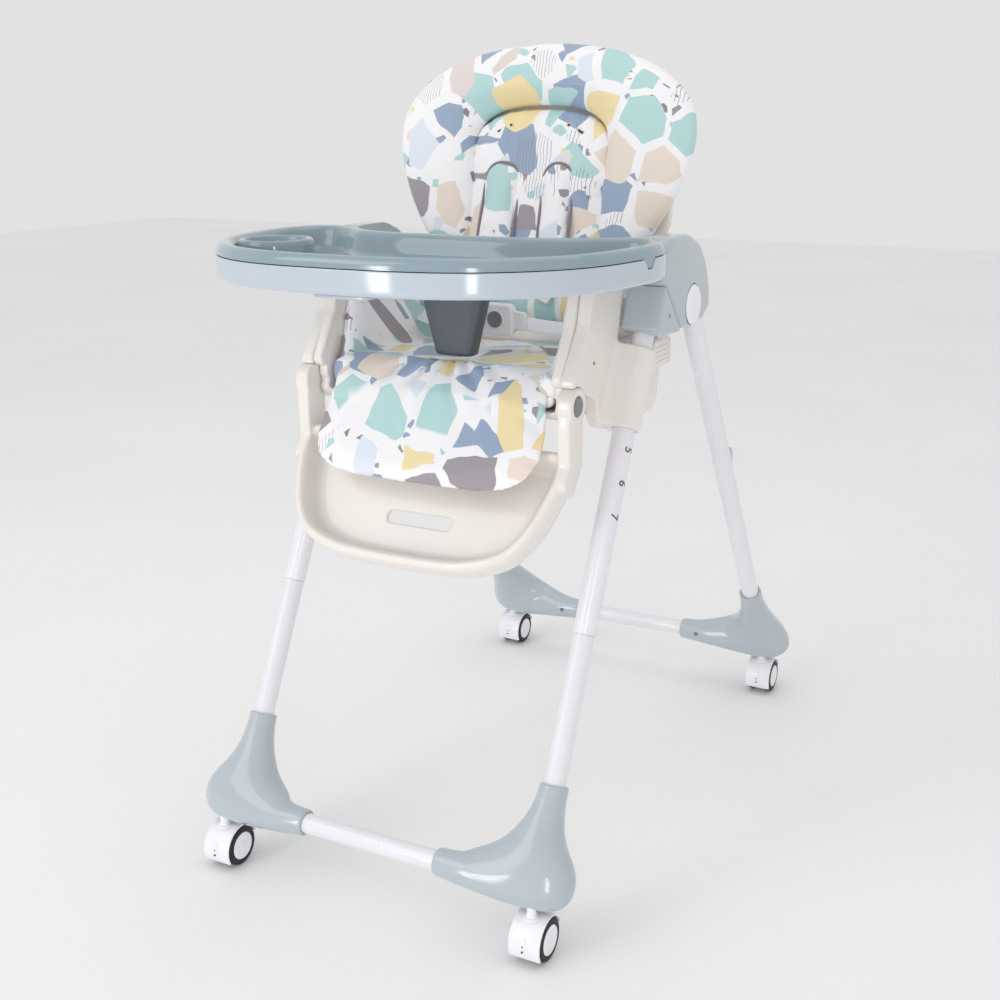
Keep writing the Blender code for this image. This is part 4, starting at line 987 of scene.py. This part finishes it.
def build_hub():
    seam_low, seam_high = Vector((-0.0389, 0.6735)), Vector((-0.0929, 0.7340))
    line = [(seam_low.x, seam_low.y, 0.0015), (0.0060, 0.6715, 0.006), (0.0190, 0.6775, 0.003),
            (0.0420, 0.6760, 0.004), (0.0660, 0.6905, 0.005), (0.0640, 0.7180, 0.030), (0.0500, 0.7500, 0.040),
            (0.0240, 0.7760, 0.040), (-0.0120, 0.7895, 0.060), (-0.0870, 0.7900, 0.038), (-0.1020, 0.7560, 0.012),
            (seam_high.x, seam_high.y, 0.0015)]
    for side_name, side in SIDES.items():
        moulded_node(f"hinge_front_housing_{side_name}", FEET_GREY, "front_frame", 0.0014, 10)
        place = (lambda way: lambda a, b, level: Vector((way * level, a, b)))(side)
        shape = domed(filleted(line, 8), 0.2094, 0.2413, 0.0085, 0.085, 0.0012, place, (-0.015, 0.715))
        dome = add_piece(f"hinge_rear_dome_{side_name}", shape, FEET_GREY)
        hub = Vector((0.0, HUB.y, HUB.z))
        well = [(0.0, 0.0), (0.0262, 0.0), (0.0262, 0.0020), (0.0275, 0.0045), (0.0275, 0.02), (0.0, 0.02)]
        start = hub + Vector((side * 0.2386, 0.0, 0.0))
        carve(dome, turned(start, start + Vector((side, 0.0, 0.0)), well, 64))
        dome.data.set_sharp_from_angle(angle=math.radians(40))
        settle(dome, "rear_frame", (f"hinge_rear_housing_{side_name}",))
        button = [(0.0, -0.004), (0.006, -0.004), (0.006, 0.0002), (0.0250, 0.0002), (0.0256, 0.0010), (0.0252, 0.0022),
                  (0.0236, 0.0031), (0.0200, 0.0035), (0.0120, 0.0038), (0.0, 0.0039)]
        face = hub + Vector((side * 0.2413, 0.0, 0.0))
        add_piece(f"hub_button_{side_name}_cap", turned(face, face + Vector((side, 0.0, 0.0)), round_profile(button, 0.0006, 3), 64),
                  WHITE, f"hub_button_body_{side_name}", (f"hub_button_{side_name}",))
        screw(f"hub_screw_front_{side_name}", Vector((side * 0.2412, -0.0800, 0.6960)), (side, 0, 0), 0.0028, "front_frame")
        screw(f"hub_screw_rear_{side_name}", Vector((side * 0.2412, 0.0400, 0.7130)), (side, 0, 0), 0.0028, "rear_frame")
        moulded_node(f"tray_hook_{side_name}", FEET_GREY, "rear_frame", 0.0009, 4)


# ---------------------------------------------------------------- seat carrier
def build_carrier():
    for side_name, side in SIDES.items():
        moulded_node(f"seat_side_panel_{side_name}", CREAM, "seat_carrier", 0.0015, 14)
        screw(f"panel_screw_{side_name}", Vector((side * 0.1909, -0.1900, 0.6520)), (side, 0, 0), 0.0022, "seat_carrier")
        lever = filleted([(-0.0300, 0.6540, 0.004), (0.0270, 0.6540, 0.004), (0.0270, 0.6180, 0.004),
                          (-0.0350, 0.6180, 0.004)], 5)
        place = (lambda way: lambda a, b, level: Vector((way * level, a, b)))(side)
        shape = rounded_slab(lever, 0.1913, 0.2033, 0.0022, place, 4)
        grips = []
        for k in range(4):
            z = 0.6255 + 0.0062 * k
            grips.append(swept([(side * 0.2032, -0.024, z), (side * 0.2036, -0.005, z), (side * 0.2032, 0.018, z)], 0.0010, 8))
        add_piece(f"height_lever_{side_name}_grip", merged(shape, *grips), CREAM, f"height_lever_body_{side_name}",
                  (f"height_lever_{side_name}",))
        front = filleted([(-0.1960, 0.7490, 0.010), (-0.1450, 0.7490, 0.010), (-0.1500, 0.7050, 0.012),
                          (-0.1950, 0.6450, 0.012), (-0.2150, 0.6200, 0.010), (-0.2480, 0.6330, 0.010),
                          (-0.2110, 0.6960, 0.030)], 6)
        add_piece(f"armrest_front_{side_name}", rounded_slab(front, 0.1605, 0.1738, 0.0030, place, 4), CREAM,
                  "seat_carrier")
    moulded_node("seat_pan", CREAM, "seat_carrier", 0.0022, 7)


# ---------------------------------------------------------------- back
def build_back():
    shell = moulded_node("backrest_shell", CREAM, "back", 0.0022, 6)
    for k, x in enumerate((-0.150, -0.110, 0.110, 0.150)):
        top = 0.325 if abs(x) < 0.12 else 0.300
        rib = filleted([(x - 0.003, 0.060, 0.0028), (x + 0.003, 0.060, 0.0028), (x + 0.003, top, 0.0028),
                        (x - 0.003, top, 0.0028)], 3)
        add_piece(f"shell_rib_{k + 1}", rounded_slab(rib, -0.0235, -0.0185, 0.0014, place_on(BACK), 3), CREAM, "back")
    del shell
    line = filleted([(-0.060, 0.205, 0.020), (0.060, 0.205, 0.020), (0.060, 0.250, 0.010), (0.042, 0.250, 0.006),
                     (0.042, 0.223, 0.010), (-0.042, 0.223, 0.010), (-0.042, 0.250, 0.006), (-0.060, 0.250, 0.010)], 5)
    add_piece("recline_handle_grip", rounded_slab(line, -0.034, -0.0203, 0.0035, place_on(BACK), 4), FEET_GREY,
              "recline_handle_body", ("recline_handle",))


# ---------------------------------------------------------------- footrest
def build_footrest():
    half = [(0.1885, 0.073), (0.1864, 0.089), (0.1790, 0.122), (0.1650, 0.159), (0.1400, 0.190), (0.0950, 0.208),
            (0.0450, 0.2128)]
    run = curve_points([(0.1885, 0.065)] + half + [(0.0, 0.2136)], 6, closed=False)
    corner = [(0.1665 + 0.022 * math.cos(t * math.pi / 16), 0.068 - 0.022 * math.sin(t * math.pi / 16))
              for t in range(1, 9)]
    side_line = [(p.x, p.y) for p in corner_first(corner, run)]
    outline = resampled(side_line + [(-x, y) for x, y in side_line[::-1][1:]], 220)
    levels = [(0.0100, -0.0620), (0.0020, -0.0580), (0.0, -0.0500), (0.0, -0.0340), (0.0020, -0.0280), (0.0060, -0.0245),
              (0.0110, -0.0255), (0.0145, -0.0300), (0.0170, -0.0400), (0.0190, -0.0480)]
    centre = Vector((0.0, 0.125))
    deep = inset(outline, 0.0190)
    rings = []
    for share in (0.2, 0.5, 0.8):
        rings.append([BOARD @ Vector((p.x, p.y, -0.0620)) for p in shrunk(inset(outline, 0.0100), share, centre)])
    for distance, level in levels:
        rings.append([BOARD @ Vector((p.x, p.y, level)) for p in (inset(outline, distance) if distance else outline)])
    for share, level in ((0.965, -0.0525), (0.92, -0.0548), (0.86, -0.0555), (0.6, -0.0555), (0.3, -0.0555)):
        rings.append([BOARD @ Vector((p.x, p.y, level)) for p in shrunk(deep, share, centre)])
    arm = [(0.004, 0.0195), (0.030, 0.004), (0.068, -0.026), (0.095, -0.026), (0.095, -0.058), (0.050, -0.058),
           (-0.004, -0.0195)]
    board = add_piece("footrest_board", skin(rings), CREAM)
    for side in SIDES.values():
        points = [BOARD @ Vector((0.0, v, n)) for v, n in arm]
        low, high = sorted((side * 0.1740, side * 0.1915))
        carve(board, rounded_slab(filleted([(p.y, p.z, 0.008) for p in points], 5), low, high, 0.003, across_x, 3), "UNION")
        start = Vector((side * 0.1738, FOOT_PIVOT.y, FOOT_PIVOT.z))
        knuckle = [(0.0, 0.0), (0.0202, 0.0), (0.0215, 0.0013), (0.0215, 0.0180), (0.0202, 0.0197), (0.0, 0.0197)]
        carve(board, turned(start, start + Vector((side, 0, 0)), knuckle, 56), "UNION")
        recess = [(0.0, 0.0160), (0.0124, 0.0160), (0.0124, 0.03), (0.0, 0.03)]
        carve(board, turned(start, start + Vector((side, 0, 0)), recess, 48))
    slot = filleted([(-0.045, 0.1378, 0.006), (0.045, 0.1378, 0.006), (0.045, 0.1548, 0.006), (-0.045, 0.1548, 0.006)], 5)
    rings = [[BOARD @ Vector((p.x, p.y, level)) for p in slot] for level in (-0.080, 0.0)]
    carve(board, skin(rings))
    remould(board, 0.0014, 12)
    settle(board, "footrest_body", ("footrest",))
    for side_name, side in SIDES.items():
        face = Vector((side * 0.1900, FOOT_PIVOT.y, FOOT_PIVOT.z))
        cap = [(0.0, -0.006), (0.004, -0.006), (0.004, 0.0), (0.0112, 0.0), (0.0119, 0.0008), (0.0117, 0.0030),
               (0.0106, 0.0038), (0.0, 0.0042)]
        add_piece(f"footrest_button_{side_name}_cap", turned(face, face + Vector((side, 0, 0)), round_profile(cap, 0.0005, 3), 40),
                  BUTTON, f"footrest_button_body_{side_name}", (f"footrest_button_{side_name}",))


def corner_first(corner, run):
    """The rounded top corner, then the run down the side."""
    return [Vector(p) for p in corner[::-1]] + list(run)


# ---------------------------------------------------------------- tray
def tray_curve():
    half = [(0.100, 0.008), (0.168, 0.035), (0.222, 0.084), (0.252, 0.142), (0.2665, 0.222), (0.2640, 0.278),
            (0.2440, 0.314), (0.2100, 0.324), (0.1720, 0.310), (0.1300, 0.282), (0.0700, 0.268)]
    half = [(x, TRAY_FRONT_Y + y) for x, y in half]
    return curve_points(mirrored(half, (0.0, TRAY_FRONT_Y), (0.0, TRAY_FRONT_Y + 0.266)), 16)


def notch(point, depth):
    """How far the insert's skirt hangs into the base at the side latches."""
    across = abs(point.y + 0.212)
    if abs(point.x) < 0.2 or across > 0.0125 or point.y > -0.15:
        return 0.0
    return depth * min(1.0, (0.0125 - across) / 0.0055)


def tray_ring(outline, distance, z, depth=0.0):
    ring = inset(outline, distance) if distance else outline
    return [Vector((p.x, p.y, z - notch(p, depth))) for p in ring]


def build_tray():
    outline = tray_curve()
    centre = (0.0, TRAY_FRONT_Y + 0.14)
    base = [tray_ring(outline, d, z) for d, z in (
        (0.0300, 0.7525), (0.0060, 0.7505), (0.0010, 0.7515), (-0.0015, 0.7545), (-0.0020, 0.7600))]
    base += [tray_ring(outline, d, z, drop) for d, z, drop in (
        (-0.0020, 0.7775, 0.0112), (-0.0012, 0.7787, 0.0110), (0.0030, 0.7787, 0.0110))]
    base += [tray_ring(outline, d, z) for d, z in ((0.0198, 0.7787), (0.0202, 0.7545), (0.0300, 0.7542))]
    floor = [[Vector((p.x, p.y, 0.7542)) for p in shrunk(inset(outline, 0.0300), k, centre)] for k in (0.7, 0.4, 0.1)]
    under = [[Vector((p.x, p.y, 0.7525)) for p in shrunk(inset(outline, 0.0300), k, centre)] for k in (0.1, 0.4, 0.7)]
    add_piece("tray_base_shell", skin(under + base + floor), TRAY_GREY, "tray", ("tray_base",), 30.0)

    rows = [(0.0205, 0.7575, 0), (0.0195, 0.7790, 0), (0.0040, 0.7793, 0.0107), (0.0015, 0.7793, 0.0107),
            (-0.0002, 0.7797, 0.0107), (-0.0005, 0.7835, 0.0), (0.0010, 0.7880, 0), (0.0040, 0.7915, 0), (0.0085, 0.7930, 0),
            (0.0130, 0.7925, 0), (0.0165, 0.7905, 0), (0.0190, 0.7870, 0), (0.0215, 0.7800, 0), (0.0245, 0.7700, 0),
            (0.0285, 0.7650, 0), (0.0350, 0.7632, 0)]
    insert = [tray_ring(outline, d, z, drop) for d, z, drop in rows]
    inner = inset(outline, 0.0350)
    floor = [[Vector((p.x, p.y, 0.7632)) for p in shrunk(inner, k, centre)] for k in (0.8, 0.6, 0.4, 0.2, 0.05)]
    under = [[Vector((p.x, p.y, 0.7575)) for p in shrunk(inset(outline, 0.0205), k, centre)] for k in (0.1, 0.4, 0.7)]
    piece = add_piece("tray_insert_shell", skin(under + insert + floor), INSERT, "tray_insert_body", ("tray_insert",),
                      38.0)
    del piece
    cup = Vector((-0.185, TRAY_FRONT_Y + 0.150, 0.0))
    wall = [(0.0, 0.7600), (0.0500, 0.7610), (0.0480, 0.7660), (0.0465, 0.7740), (0.0455, 0.7860), (0.0440, 0.7900),
            (0.0410, 0.7918), (0.0380, 0.7905), (0.0362, 0.7860), (0.0352, 0.7780), (0.0340, 0.7690), (0.0310, 0.7655),
            (0.0270, 0.7648), (0.0, 0.7648)]
    add_piece("tray_cup_ring", turned(cup, cup + Vector((0, 0, 1)), round_profile(wall, 0.0015, 4), 72), INSERT,
              "tray_insert_body", sharp=0)

    release = filleted([(-0.035, TRAY_FRONT_Y + 0.014, 0.005), (0.035, TRAY_FRONT_Y + 0.014, 0.005),
                        (0.035, TRAY_FRONT_Y + 0.042, 0.005), (-0.035, TRAY_FRONT_Y + 0.042, 0.005)], 4)
    body = rounded_slab(release, TRAY_BOTTOM_Z - 0.0048, TRAY_BOTTOM_Z - 0.0003, 0.0016, upright, 3)
    grips = []
    for k in range(4):
        y = TRAY_FRONT_Y + 0.021 + 0.0045 * k
        z = TRAY_BOTTOM_Z - 0.0047
        grips.append(swept([(-0.026, y, z), (0.0, y, z - 0.0002), (0.026, y, z)], 0.0009, 8))
    add_piece("tray_release_bar", merged(body, *grips), TRAY_GREY, "tray_release_body", ("tray_release",))

    rings = []
    for z, half_x, half_y in curve_points([(0.7497, 0.050, 0.017), (0.735, 0.0475, 0.0167), (0.715, 0.043, 0.016),
                                           (0.697, 0.0385, 0.0153), (0.680, 0.034, 0.0145), (0.664, 0.030, 0.0137),
                                           (0.651, 0.0267, 0.0130)], 4, closed=False):
        rings.append(post_ring(z, half_x, half_y))
    for z, half_x, half_y in ((0.6484, 0.0262, 0.0126), (0.6470, 0.0252, 0.0117), (0.6462, 0.0236, 0.0103),
                              (0.6460, 0.0150, 0.0060)):
        rings.append(post_ring(z, half_x, half_y))
    add_piece("crotch_post_moulding", skin(rings), POST_SLATE, "tray", ("crotch_post",), 0)


def post_ring(z, half_x, half_y):
    ring = []
    for k in range(56):
        c, s = math.cos(math.tau * k / 56), math.sin(math.tau * k / 56)
        ring.append(Vector((half_x * math.copysign(abs(c) ** 0.42, c), -0.18 + half_y * math.copysign(abs(s) ** 0.42, s), z)))
    return ring


# ---------------------------------------------------------------- soft goods
def build_bolster():
    outer = [(0.156, 0.112), (0.182, 0.150), (0.203, 0.188), (0.218, 0.228), (0.2245, 0.268), (0.219, 0.304),
             (0.198, 0.334), (0.160, 0.361), (0.110, 0.379), (0.055, 0.389)]
    inner = [(0.102, 0.112), (0.102, 0.145), (0.1015, 0.180), (0.101, 0.212), (0.1005, 0.236), (0.099, 0.258),
             (0.094, 0.274), (0.082, 0.287), (0.062, 0.297), (0.032, 0.302)]
    runs = []
    for half, top in ((outer, (0.0, 0.392)), (inner, (0.0, 0.3035))):
        line = half + [top] + [(-x, y) for x, y in half[::-1]]
        runs.append(curve_points(line, 6, closed=False))
    rings = []
    count = len(runs[0])
    for i, (far, near) in enumerate(zip(*runs)):
        to_end = min(i, count - 1 - i)
        taper = 1 - 0.9 * (1 - min(to_end / 5, 1.0)) ** 3
        middle, half = (far + near) / 2, (far - near) / 2 * (0.55 + 0.45 * taper)
        ring = []
        for k in range(28):
            c, s = math.cos(math.tau * k / 28), math.sin(math.tau * k / 28)
            place = middle + half * math.copysign(abs(c) ** 0.72, c)
            level = 0.0112 + 0.0176 * taper * math.copysign(abs(s) ** 0.72, s)
            ring.append(BACK @ Vector((place.x, place.y, level)))
        rings.append(ring)
    piece = add_piece("back_bolster_pad", skin(rings), PRINT)
    puff(piece, 0.0050, 3.0, 0.006, 3)
    lay_print(piece, BACK, 0.3)
    settle(piece, "back", ("back_bolster",))
    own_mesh(piece)


def build_back_cushion():
    half = [(0.149, 0.018), (0.149, 0.060), (0.149, 0.100), (0.142, 0.1100), (0.120, 0.1140), (0.1065, 0.1230),
            (0.1055, 0.160), (0.1055, 0.205), (0.1045, 0.2520), (0.0950, 0.2820), (0.0760, 0.2965), (0.0450, 0.3060)]
    outline = curve_points(mirrored([(0.075, 0.0175)] + half, (0.0, 0.0175), (0.0, 0.3090)), 4)
    piece = add_piece("back_cushion_pad", pad(outline, -0.0070, 0.0185, 0.005, 0.0025, place_on(BACK), 12, (0.0, 0.090)), PRINT)
    puff(piece, 0.0050, 3.0, 0.005, 2)

    def pleats(a, b, level):
        if level < 0:
            return 0.0
        near = math.exp(-((b - 0.285) / 0.03) ** 2)
        return -0.0022 * near * (0.5 + 0.5 * math.cos(a * 310)) + 0.0026 * noise.noise(Vector((a * 22, b * 14, 3)))
    crumple(piece, BACK, pleats)
    lay_print(piece, BACK, 0.3)
    settle(piece, "back", ("back_cushion",))
    for k, (x, v, tilt) in enumerate(((0.060, 0.240, -26), (-0.060, 0.240, 26), (0.055, 0.275, -26), (-0.055, 0.275, 26))):
        turn = Matrix.Translation((x, v, 0.0)) @ Matrix.Rotation(math.radians(tilt), 4, "Z")
        place = BACK @ turn
        line = filleted([(-0.0150, -0.0016, 0.0015), (0.0150, -0.0016, 0.0015), (0.0150, 0.0016, 0.0015),
                         (-0.0150, 0.0016, 0.0015)], 4)
        # Each strap slit is a near-black slab on the cloth: painted shade inside the slit, ringed by its binding.
        add_piece(f"painted_strap_slit_shade_{k + 1}", rounded_slab(line, 0.0170, 0.0216, 0.0004, place_on(place), 2), DARK_AND_HOLE_SHADE, "back")
        ring = [place @ Vector((p.x, p.y, 0.0212)) for p in inset(line, -0.0008)]
        add_piece(f"slit_binding_{k + 1}", swept(ring, 0.0007, 8, closed=True), PALE_TAPE, "back")


SHOULDER_PADS = {"left": (0.0225, 0.0400, 0.0350), "right": (0.0265, -0.0500, -0.0470)}


def build_shoulder_pads():
    for side_name, side in SIDES.items():
        half, low_x, high_x = SHOULDER_PADS[side_name]
        low = Vector((low_x, 0.085))
        high = Vector((high_x, 0.2300))
        way = (high - low).normalized()
        across = Vector((way.y, -way.x))
        line = [(-half, 0.0, 0.006), (half, 0.0, 0.006), (half, (high - low).length, 0.024), (-half, (high - low).length, 0.024)]
        outline = []
        for p in filleted(line, 9):
            outline.append(low + across * p.x + way * p.y)
        outline = resampled(outline, 90)

        def place(a, b, level):
            bend = 0.0035 * math.sin((b - 0.085) * 38)
            curl = -3.6 * (a - (low_x + high_x) / 2) ** 2
            return BACK @ Vector((a, b, level + bend + curl))
        piece = add_piece(f"shoulder_pad_{side_name}_cover", pad(outline, 0.0225, 0.0325, 0.0035, 0.0020, place, 8), PRINT)
        puff(piece, 0.0040, 2.0, 0.003, 2)
        lay_print(piece, BACK, 0.3, (0.21 * side, 0.33))
        settle(piece, "back", (f"shoulder_pad_{side_name}",))
        edge = [place(p.x, p.y, 0.0282) for p in inset(outline, -0.0002)]
        add_piece(f"shoulder_piping_{side_name}", swept(edge, 0.0021, 10, closed=True), PIPING, "back")
        strap = [(side * 0.059, 0.2420, 0.0195), (side * 0.0540, 0.2385, 0.0230), (high_x + side * 0.003, 0.2290, 0.0245),
                 (high_x, 0.2150, 0.0250)]
        points = [BACK @ Vector(p) for p in curve_points(strap, 5, closed=False)]
        add_piece(f"shoulder_strap_top_{side_name}", ribbon(points, BACK.to_3x3() @ Vector((0, 0, 1)), 0.024, 0.0016),
                  WEBBING, "back")
        strap = [(low_x, 0.100, 0.0235), (low_x, 0.078, 0.0270), (low_x - side * 0.003, 0.060, 0.0320),
                 (low_x - side * 0.008, 0.048, 0.0380)]
        points = [BACK @ Vector(p) for p in curve_points(strap, 5, closed=False)]
        add_piece(f"shoulder_strap_end_{side_name}", ribbon(points, BACK.to_3x3() @ Vector((0, 0, 1)), 0.023, 0.0016),
                  WEBBING, "back")


def resampled(outline, count):
    """The same closed outline with evenly spaced points."""
    points = [Vector(p) for p in outline]
    loop = points + points[:1]
    lengths = [0.0]
    for a, b in zip(loop, loop[1:]):
        lengths.append(lengths[-1] + (b - a).length)
    result = []
    i = 0
    for k in range(count):
        target = lengths[-1] * k / count
        while lengths[i + 1] < target:
            i += 1
        span = max(lengths[i + 1] - lengths[i], 1e-9)
        result.append(loop[i].lerp(loop[i + 1], (target - lengths[i]) / span))
    return result


def seat_section(y):
    """Half section of the seat lining at y: floor, fillet and side pad, as (x, z)."""
    rise = min(max((y + 0.222) / 0.050, 0.0), 1.0)
    rise = rise * rise * (3 - 2 * rise)
    fall = min(max((0.000 - y) / 0.020, 0.0), 1.0)
    top = 0.6360 + (0.7360 - 0.6360) * rise * (0.82 + 0.18 * fall)
    front = min(max((y + 0.2290) / 0.022, 0.0), 1.0)
    floor = 0.6200 + 0.0125 * math.sqrt(max(1 - (1 - front) ** 2, 0.0))
    z = [0.5985, 0.5985, 0.6000, 0.6080, (0.608 + top) / 2, top - 0.010, top - 0.002, top, top - 0.002, top - 0.012,
         (0.64 + top) / 2, max(floor + 0.010, 0.640), floor + 0.003, floor, floor + 0.0015, floor + 0.002]
    x = [0.0, 0.100, 0.1480, 0.1560, 0.1582, 0.1584, 0.1570, 0.1530, 0.1492, 0.1475, 0.1465, 0.1435, 0.1360, 0.1200, 0.0600, 0.0]
    z[11] = min(z[11], (z[10] + z[12]) / 2 + 0.004)
    return list(zip(x, z))


def build_seat_cushion():
    rings = []
    for k in range(45):
        y = -0.2285 + 0.2255 * k / 44
        half = seat_section(y)
        line = half[:-1] + [(0.0, half[-1][1])] + [(-x, z) for x, z in half[1:-1][::-1]]
        curve = curve_points(line, 3)
        rings.append([Vector((p.x, y, p.y)) for p in curve])
    piece = add_piece("seat_cushion_pad", skin(rings), PRINT)
    puff(piece, 0.0045, 2.5, 0.004, 3)

    def soft(a, b, level):
        gather = math.exp(-((b + 0.180) / 0.05) ** 2 - (a / 0.06) ** 2)
        if level < 0.62 or abs(a) > 0.14:
            return 0.0
        return -0.0030 * gather + 0.0018 * noise.noise(Vector((a * 26, b * 26, 7)))
    crumple(piece, Matrix.Identity(4), soft)
    lay_print(piece, Matrix(((1, 0, 0, 0), (0, 1, 1, 0), (0, 0, 1, 0), (0, 0, 0, 1))).inverted(), 0.3, (0.4, 0.2))
    settle(piece, "seat_carrier", ("seat_cushion",))


FLAP_RUN = [(-0.052, -0.0250), (-0.044, -0.0125), (-0.031, -0.0040), (-0.014, -0.0015), (0.004, -0.0050), (0.022, -0.0098),
            (0.045, -0.0135), (0.070, -0.0155), (0.096, -0.0165), (0.122, -0.0170)]


def flap_place(a, b, level):
    """Cloth of the flap: b runs down the chair from the seat's front, level is its thickness."""
    share = (b + 0.052) / 0.174 * (len(FLAP_RUN) - 1)
    i = min(max(int(share), 0), len(FLAP_RUN) - 2)
    t = share - i
    run = Vector(FLAP_RUN[i]).lerp(Vector(FLAP_RUN[i + 1]), t)
    way = (Vector(FLAP_RUN[min(i + 2, len(FLAP_RUN) - 1)]) - Vector(FLAP_RUN[max(i - 1, 0)])).normalized()
    out = Vector((-way.y, way.x))
    point = run + out * level
    return BOARD @ Vector((a, point.x, point.y))


def build_flap():
    half = [(0.140, -0.050), (0.1440, -0.030), (0.1470, -0.008), (0.1510, 0.020), (0.1550, 0.046), (0.1580, 0.070),
            (0.1550, 0.088), (0.1430, 0.103), (0.1210, 0.112), (0.0860, 0.1165), (0.0430, 0.1180)]
    outline = resampled(curve_points(mirrored(half, (0.0, -0.050), (0.0, 0.1185)), 6), 150)
    piece = add_piece("leg_flap_cover", pad(outline, -0.0030, 0.0030, 0.0028, 0.0025, flap_place, 14, (0.0, 0.055)), PRINT)
    puff(piece, 0.0040, 1.6, 0.005, 2)

    def gathers(a, b, level):
        angle = math.atan2(a, b + 0.075)
        reach = math.hypot(a, b + 0.075)
        fade = math.exp(-((reach - 0.045) / 0.060) ** 2)
        folds = 0.0030 * fade * math.sin(angle * 17 + 4 * noise.noise(Vector((a * 9, b * 9, 1))))
        hem = min(max((0.118 - b) / 0.02, 0.0), 1.0)
        return (folds + 0.0034 * noise.noise(Vector((a * 15, b * 12, 5)))) * hem
    crumple(piece, BOARD, gathers)
    lay_print(piece, BOARD, 0.3, (0.15, 0.62))
    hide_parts("leg_flap")
    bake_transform(piece)


BUCKLE_X = 0.012


def build_harness():
    run = [(0.1560, -0.020, 0.672), (0.132, -0.040, 0.668), (0.100, -0.062, 0.668), (0.066, -0.080, 0.672), (0.036, -0.090, 0.677),
           (0.022, -0.093, 0.679)]
    for side_name, side in SIDES.items():
        points = curve_points([(side * x, y, z) for x, y, z in run], 6, closed=False)
        nodes = ("lap_strap",) if side > 0 else ()
        add_piece(f"lap_strap_{side_name}_band", ribbon(points, (0.0, -0.55, 0.85), 0.025, 0.0018), WEBBING, "seat_carrier",
                  nodes)
    x = BUCKLE_X
    plate = filleted([(x - 0.026, 0.659, 0.010), (x + 0.026, 0.659, 0.010), (x + 0.024, 0.700, 0.010),
                      (x - 0.024, 0.700, 0.010)], 7)
    face = lambda a, b, level: Vector((a, level, b))
    shape = rounded_slab(plate, -0.1030, -0.0880, 0.0035, face, 5)
    ring = [(0.0, 0.0), (0.0125, 0.0), (0.0130, 0.0012), (0.0120, 0.0022), (0.0108, 0.0016), (0.0, 0.0014)]
    centre = Vector((x, -0.1026, 0.6800))
    add_piece("harness_buckle_body", merged(shape, turned(centre, centre - Vector((0, 1, 0)), ring, 40)), WHITE, "seat_carrier",
              ("harness_buckle",))
    push = [(0.0, 0.0), (0.0104, 0.0), (0.0106, 0.0024), (0.0096, 0.0034), (0.0, 0.0038)]
    add_piece("harness_buckle_button", turned(centre, centre - Vector((0, 1, 0)), round_profile(push, 0.0005, 3), 40), BUTTON,
              "seat_carrier")
    for side_name, side in SIDES.items():
        tongue = filleted([(x + side * 0.020, 0.669, 0.004), (x + side * 0.042, 0.668, 0.006),
                           (x + side * 0.042, 0.690, 0.006), (x + side * 0.020, 0.692, 0.004)], 4)
        add_piece(f"harness_tongue_{side_name}", rounded_slab(tongue, -0.0990, -0.0920, 0.0020, face, 3), WHITE,
                  "seat_carrier")


build_legs()
build_feet()
build_casters()
build_hub()
build_carrier()
build_back()
build_footrest()
build_tray()
build_bolster()
build_back_cushion()
build_shoulder_pads()
build_seat_cushion()
build_flap()
build_harness()


# ---------------------------------------------------------------- floor, light and camera
def floor_material():
    material, tree, shader = blank("studio_floor", 0.85)
    place = tree.nodes.new("ShaderNodeTexCoord")
    cloud = noise_of(tree, place, "Object", 1.2)
    tone = ramp_of(tree, cloud, "Fac", [(0.3, srgb(246, 246, 246)), (0.7, srgb(250, 250, 250))])
    link(tree, tone, "Color", shader, "Base Color")
    return material


def softbox(name, place, aim, size_x, size_y, power):
    light = bpy.data.lights.new(name, "AREA")
    light.shape = "RECTANGLE"
    light.size = size_x
    light.size_y = size_y
    light.energy = power
    lamp = bpy.data.objects.new(name, light)
    lamp.location = place
    lamp.rotation_euler = (Vector(aim) - Vector(place)).to_track_quat("-Z", "Y").to_euler()
    bpy.context.scene.collection.objects.link(lamp)


floor_mesh = bpy.data.meshes.new("floor")
floor_mesh.from_pydata([(-8, -8, 0), (8, -8, 0), (8, 8, 0), (-8, 8, 0)], [], [(0, 1, 2, 3)])
floor_mesh.materials.append(floor_material())
floor = bpy.data.objects.new("floor", floor_mesh)
bpy.context.scene.collection.objects.link(floor)

softbox("key_light", (-1.6, -2.2, 2.4), (0.0, 0.0, 0.5), 1.6, 1.6, 12.0)
softbox("left_strip", (-0.95, -2.75, 0.75), (0.0, -0.4, 0.6), 0.28, 1.3, 9.0)
softbox("right_strip", (1.30, -2.70, 0.75), (0.1, -0.4, 0.6), 0.28, 1.3, 9.0)
softbox("top_light", (0.2, 0.4, 2.9), (0.0, 0.0, 0.6), 1.8, 1.8, 5.0)
world = bpy.data.worlds.new("studio")
bpy.context.scene.world = world
world.use_nodes = True
sky = world.node_tree.nodes["Background"]
sky.inputs["Color"].default_value = (1.0, 1.0, 1.0, 1.0)
sky.inputs["Strength"].default_value = 0.76
bpy.context.scene.view_settings.view_transform = "Standard"

camera_data = bpy.data.cameras.new("camera")
camera_data.lens = 47.02
camera_data.sensor_width = 36.0
camera_data.shift_x = -0.02455
camera_data.shift_y = -0.02516
camera = bpy.data.objects.new("camera", camera_data)
bpy.context.scene.collection.objects.link(camera)
eye = Vector((0.81257, -1.56534, 0.93536)) + SHIFT
forward = (Vector((0.0, 0.0, 0.446)) + SHIFT - eye).normalized()
right = forward.cross(Vector((0.0, 0.0, 1.0))).normalized()
roll = math.radians(-0.31)
right = right * math.cos(roll) + right.cross(forward) * math.sin(roll)
over = right.cross(forward)
camera.matrix_world = Matrix.Translation(eye) @ Matrix((right, over, -forward)).transposed().to_4x4()
bpy.context.scene.camera = camera

bpy.context.view_layer.update()
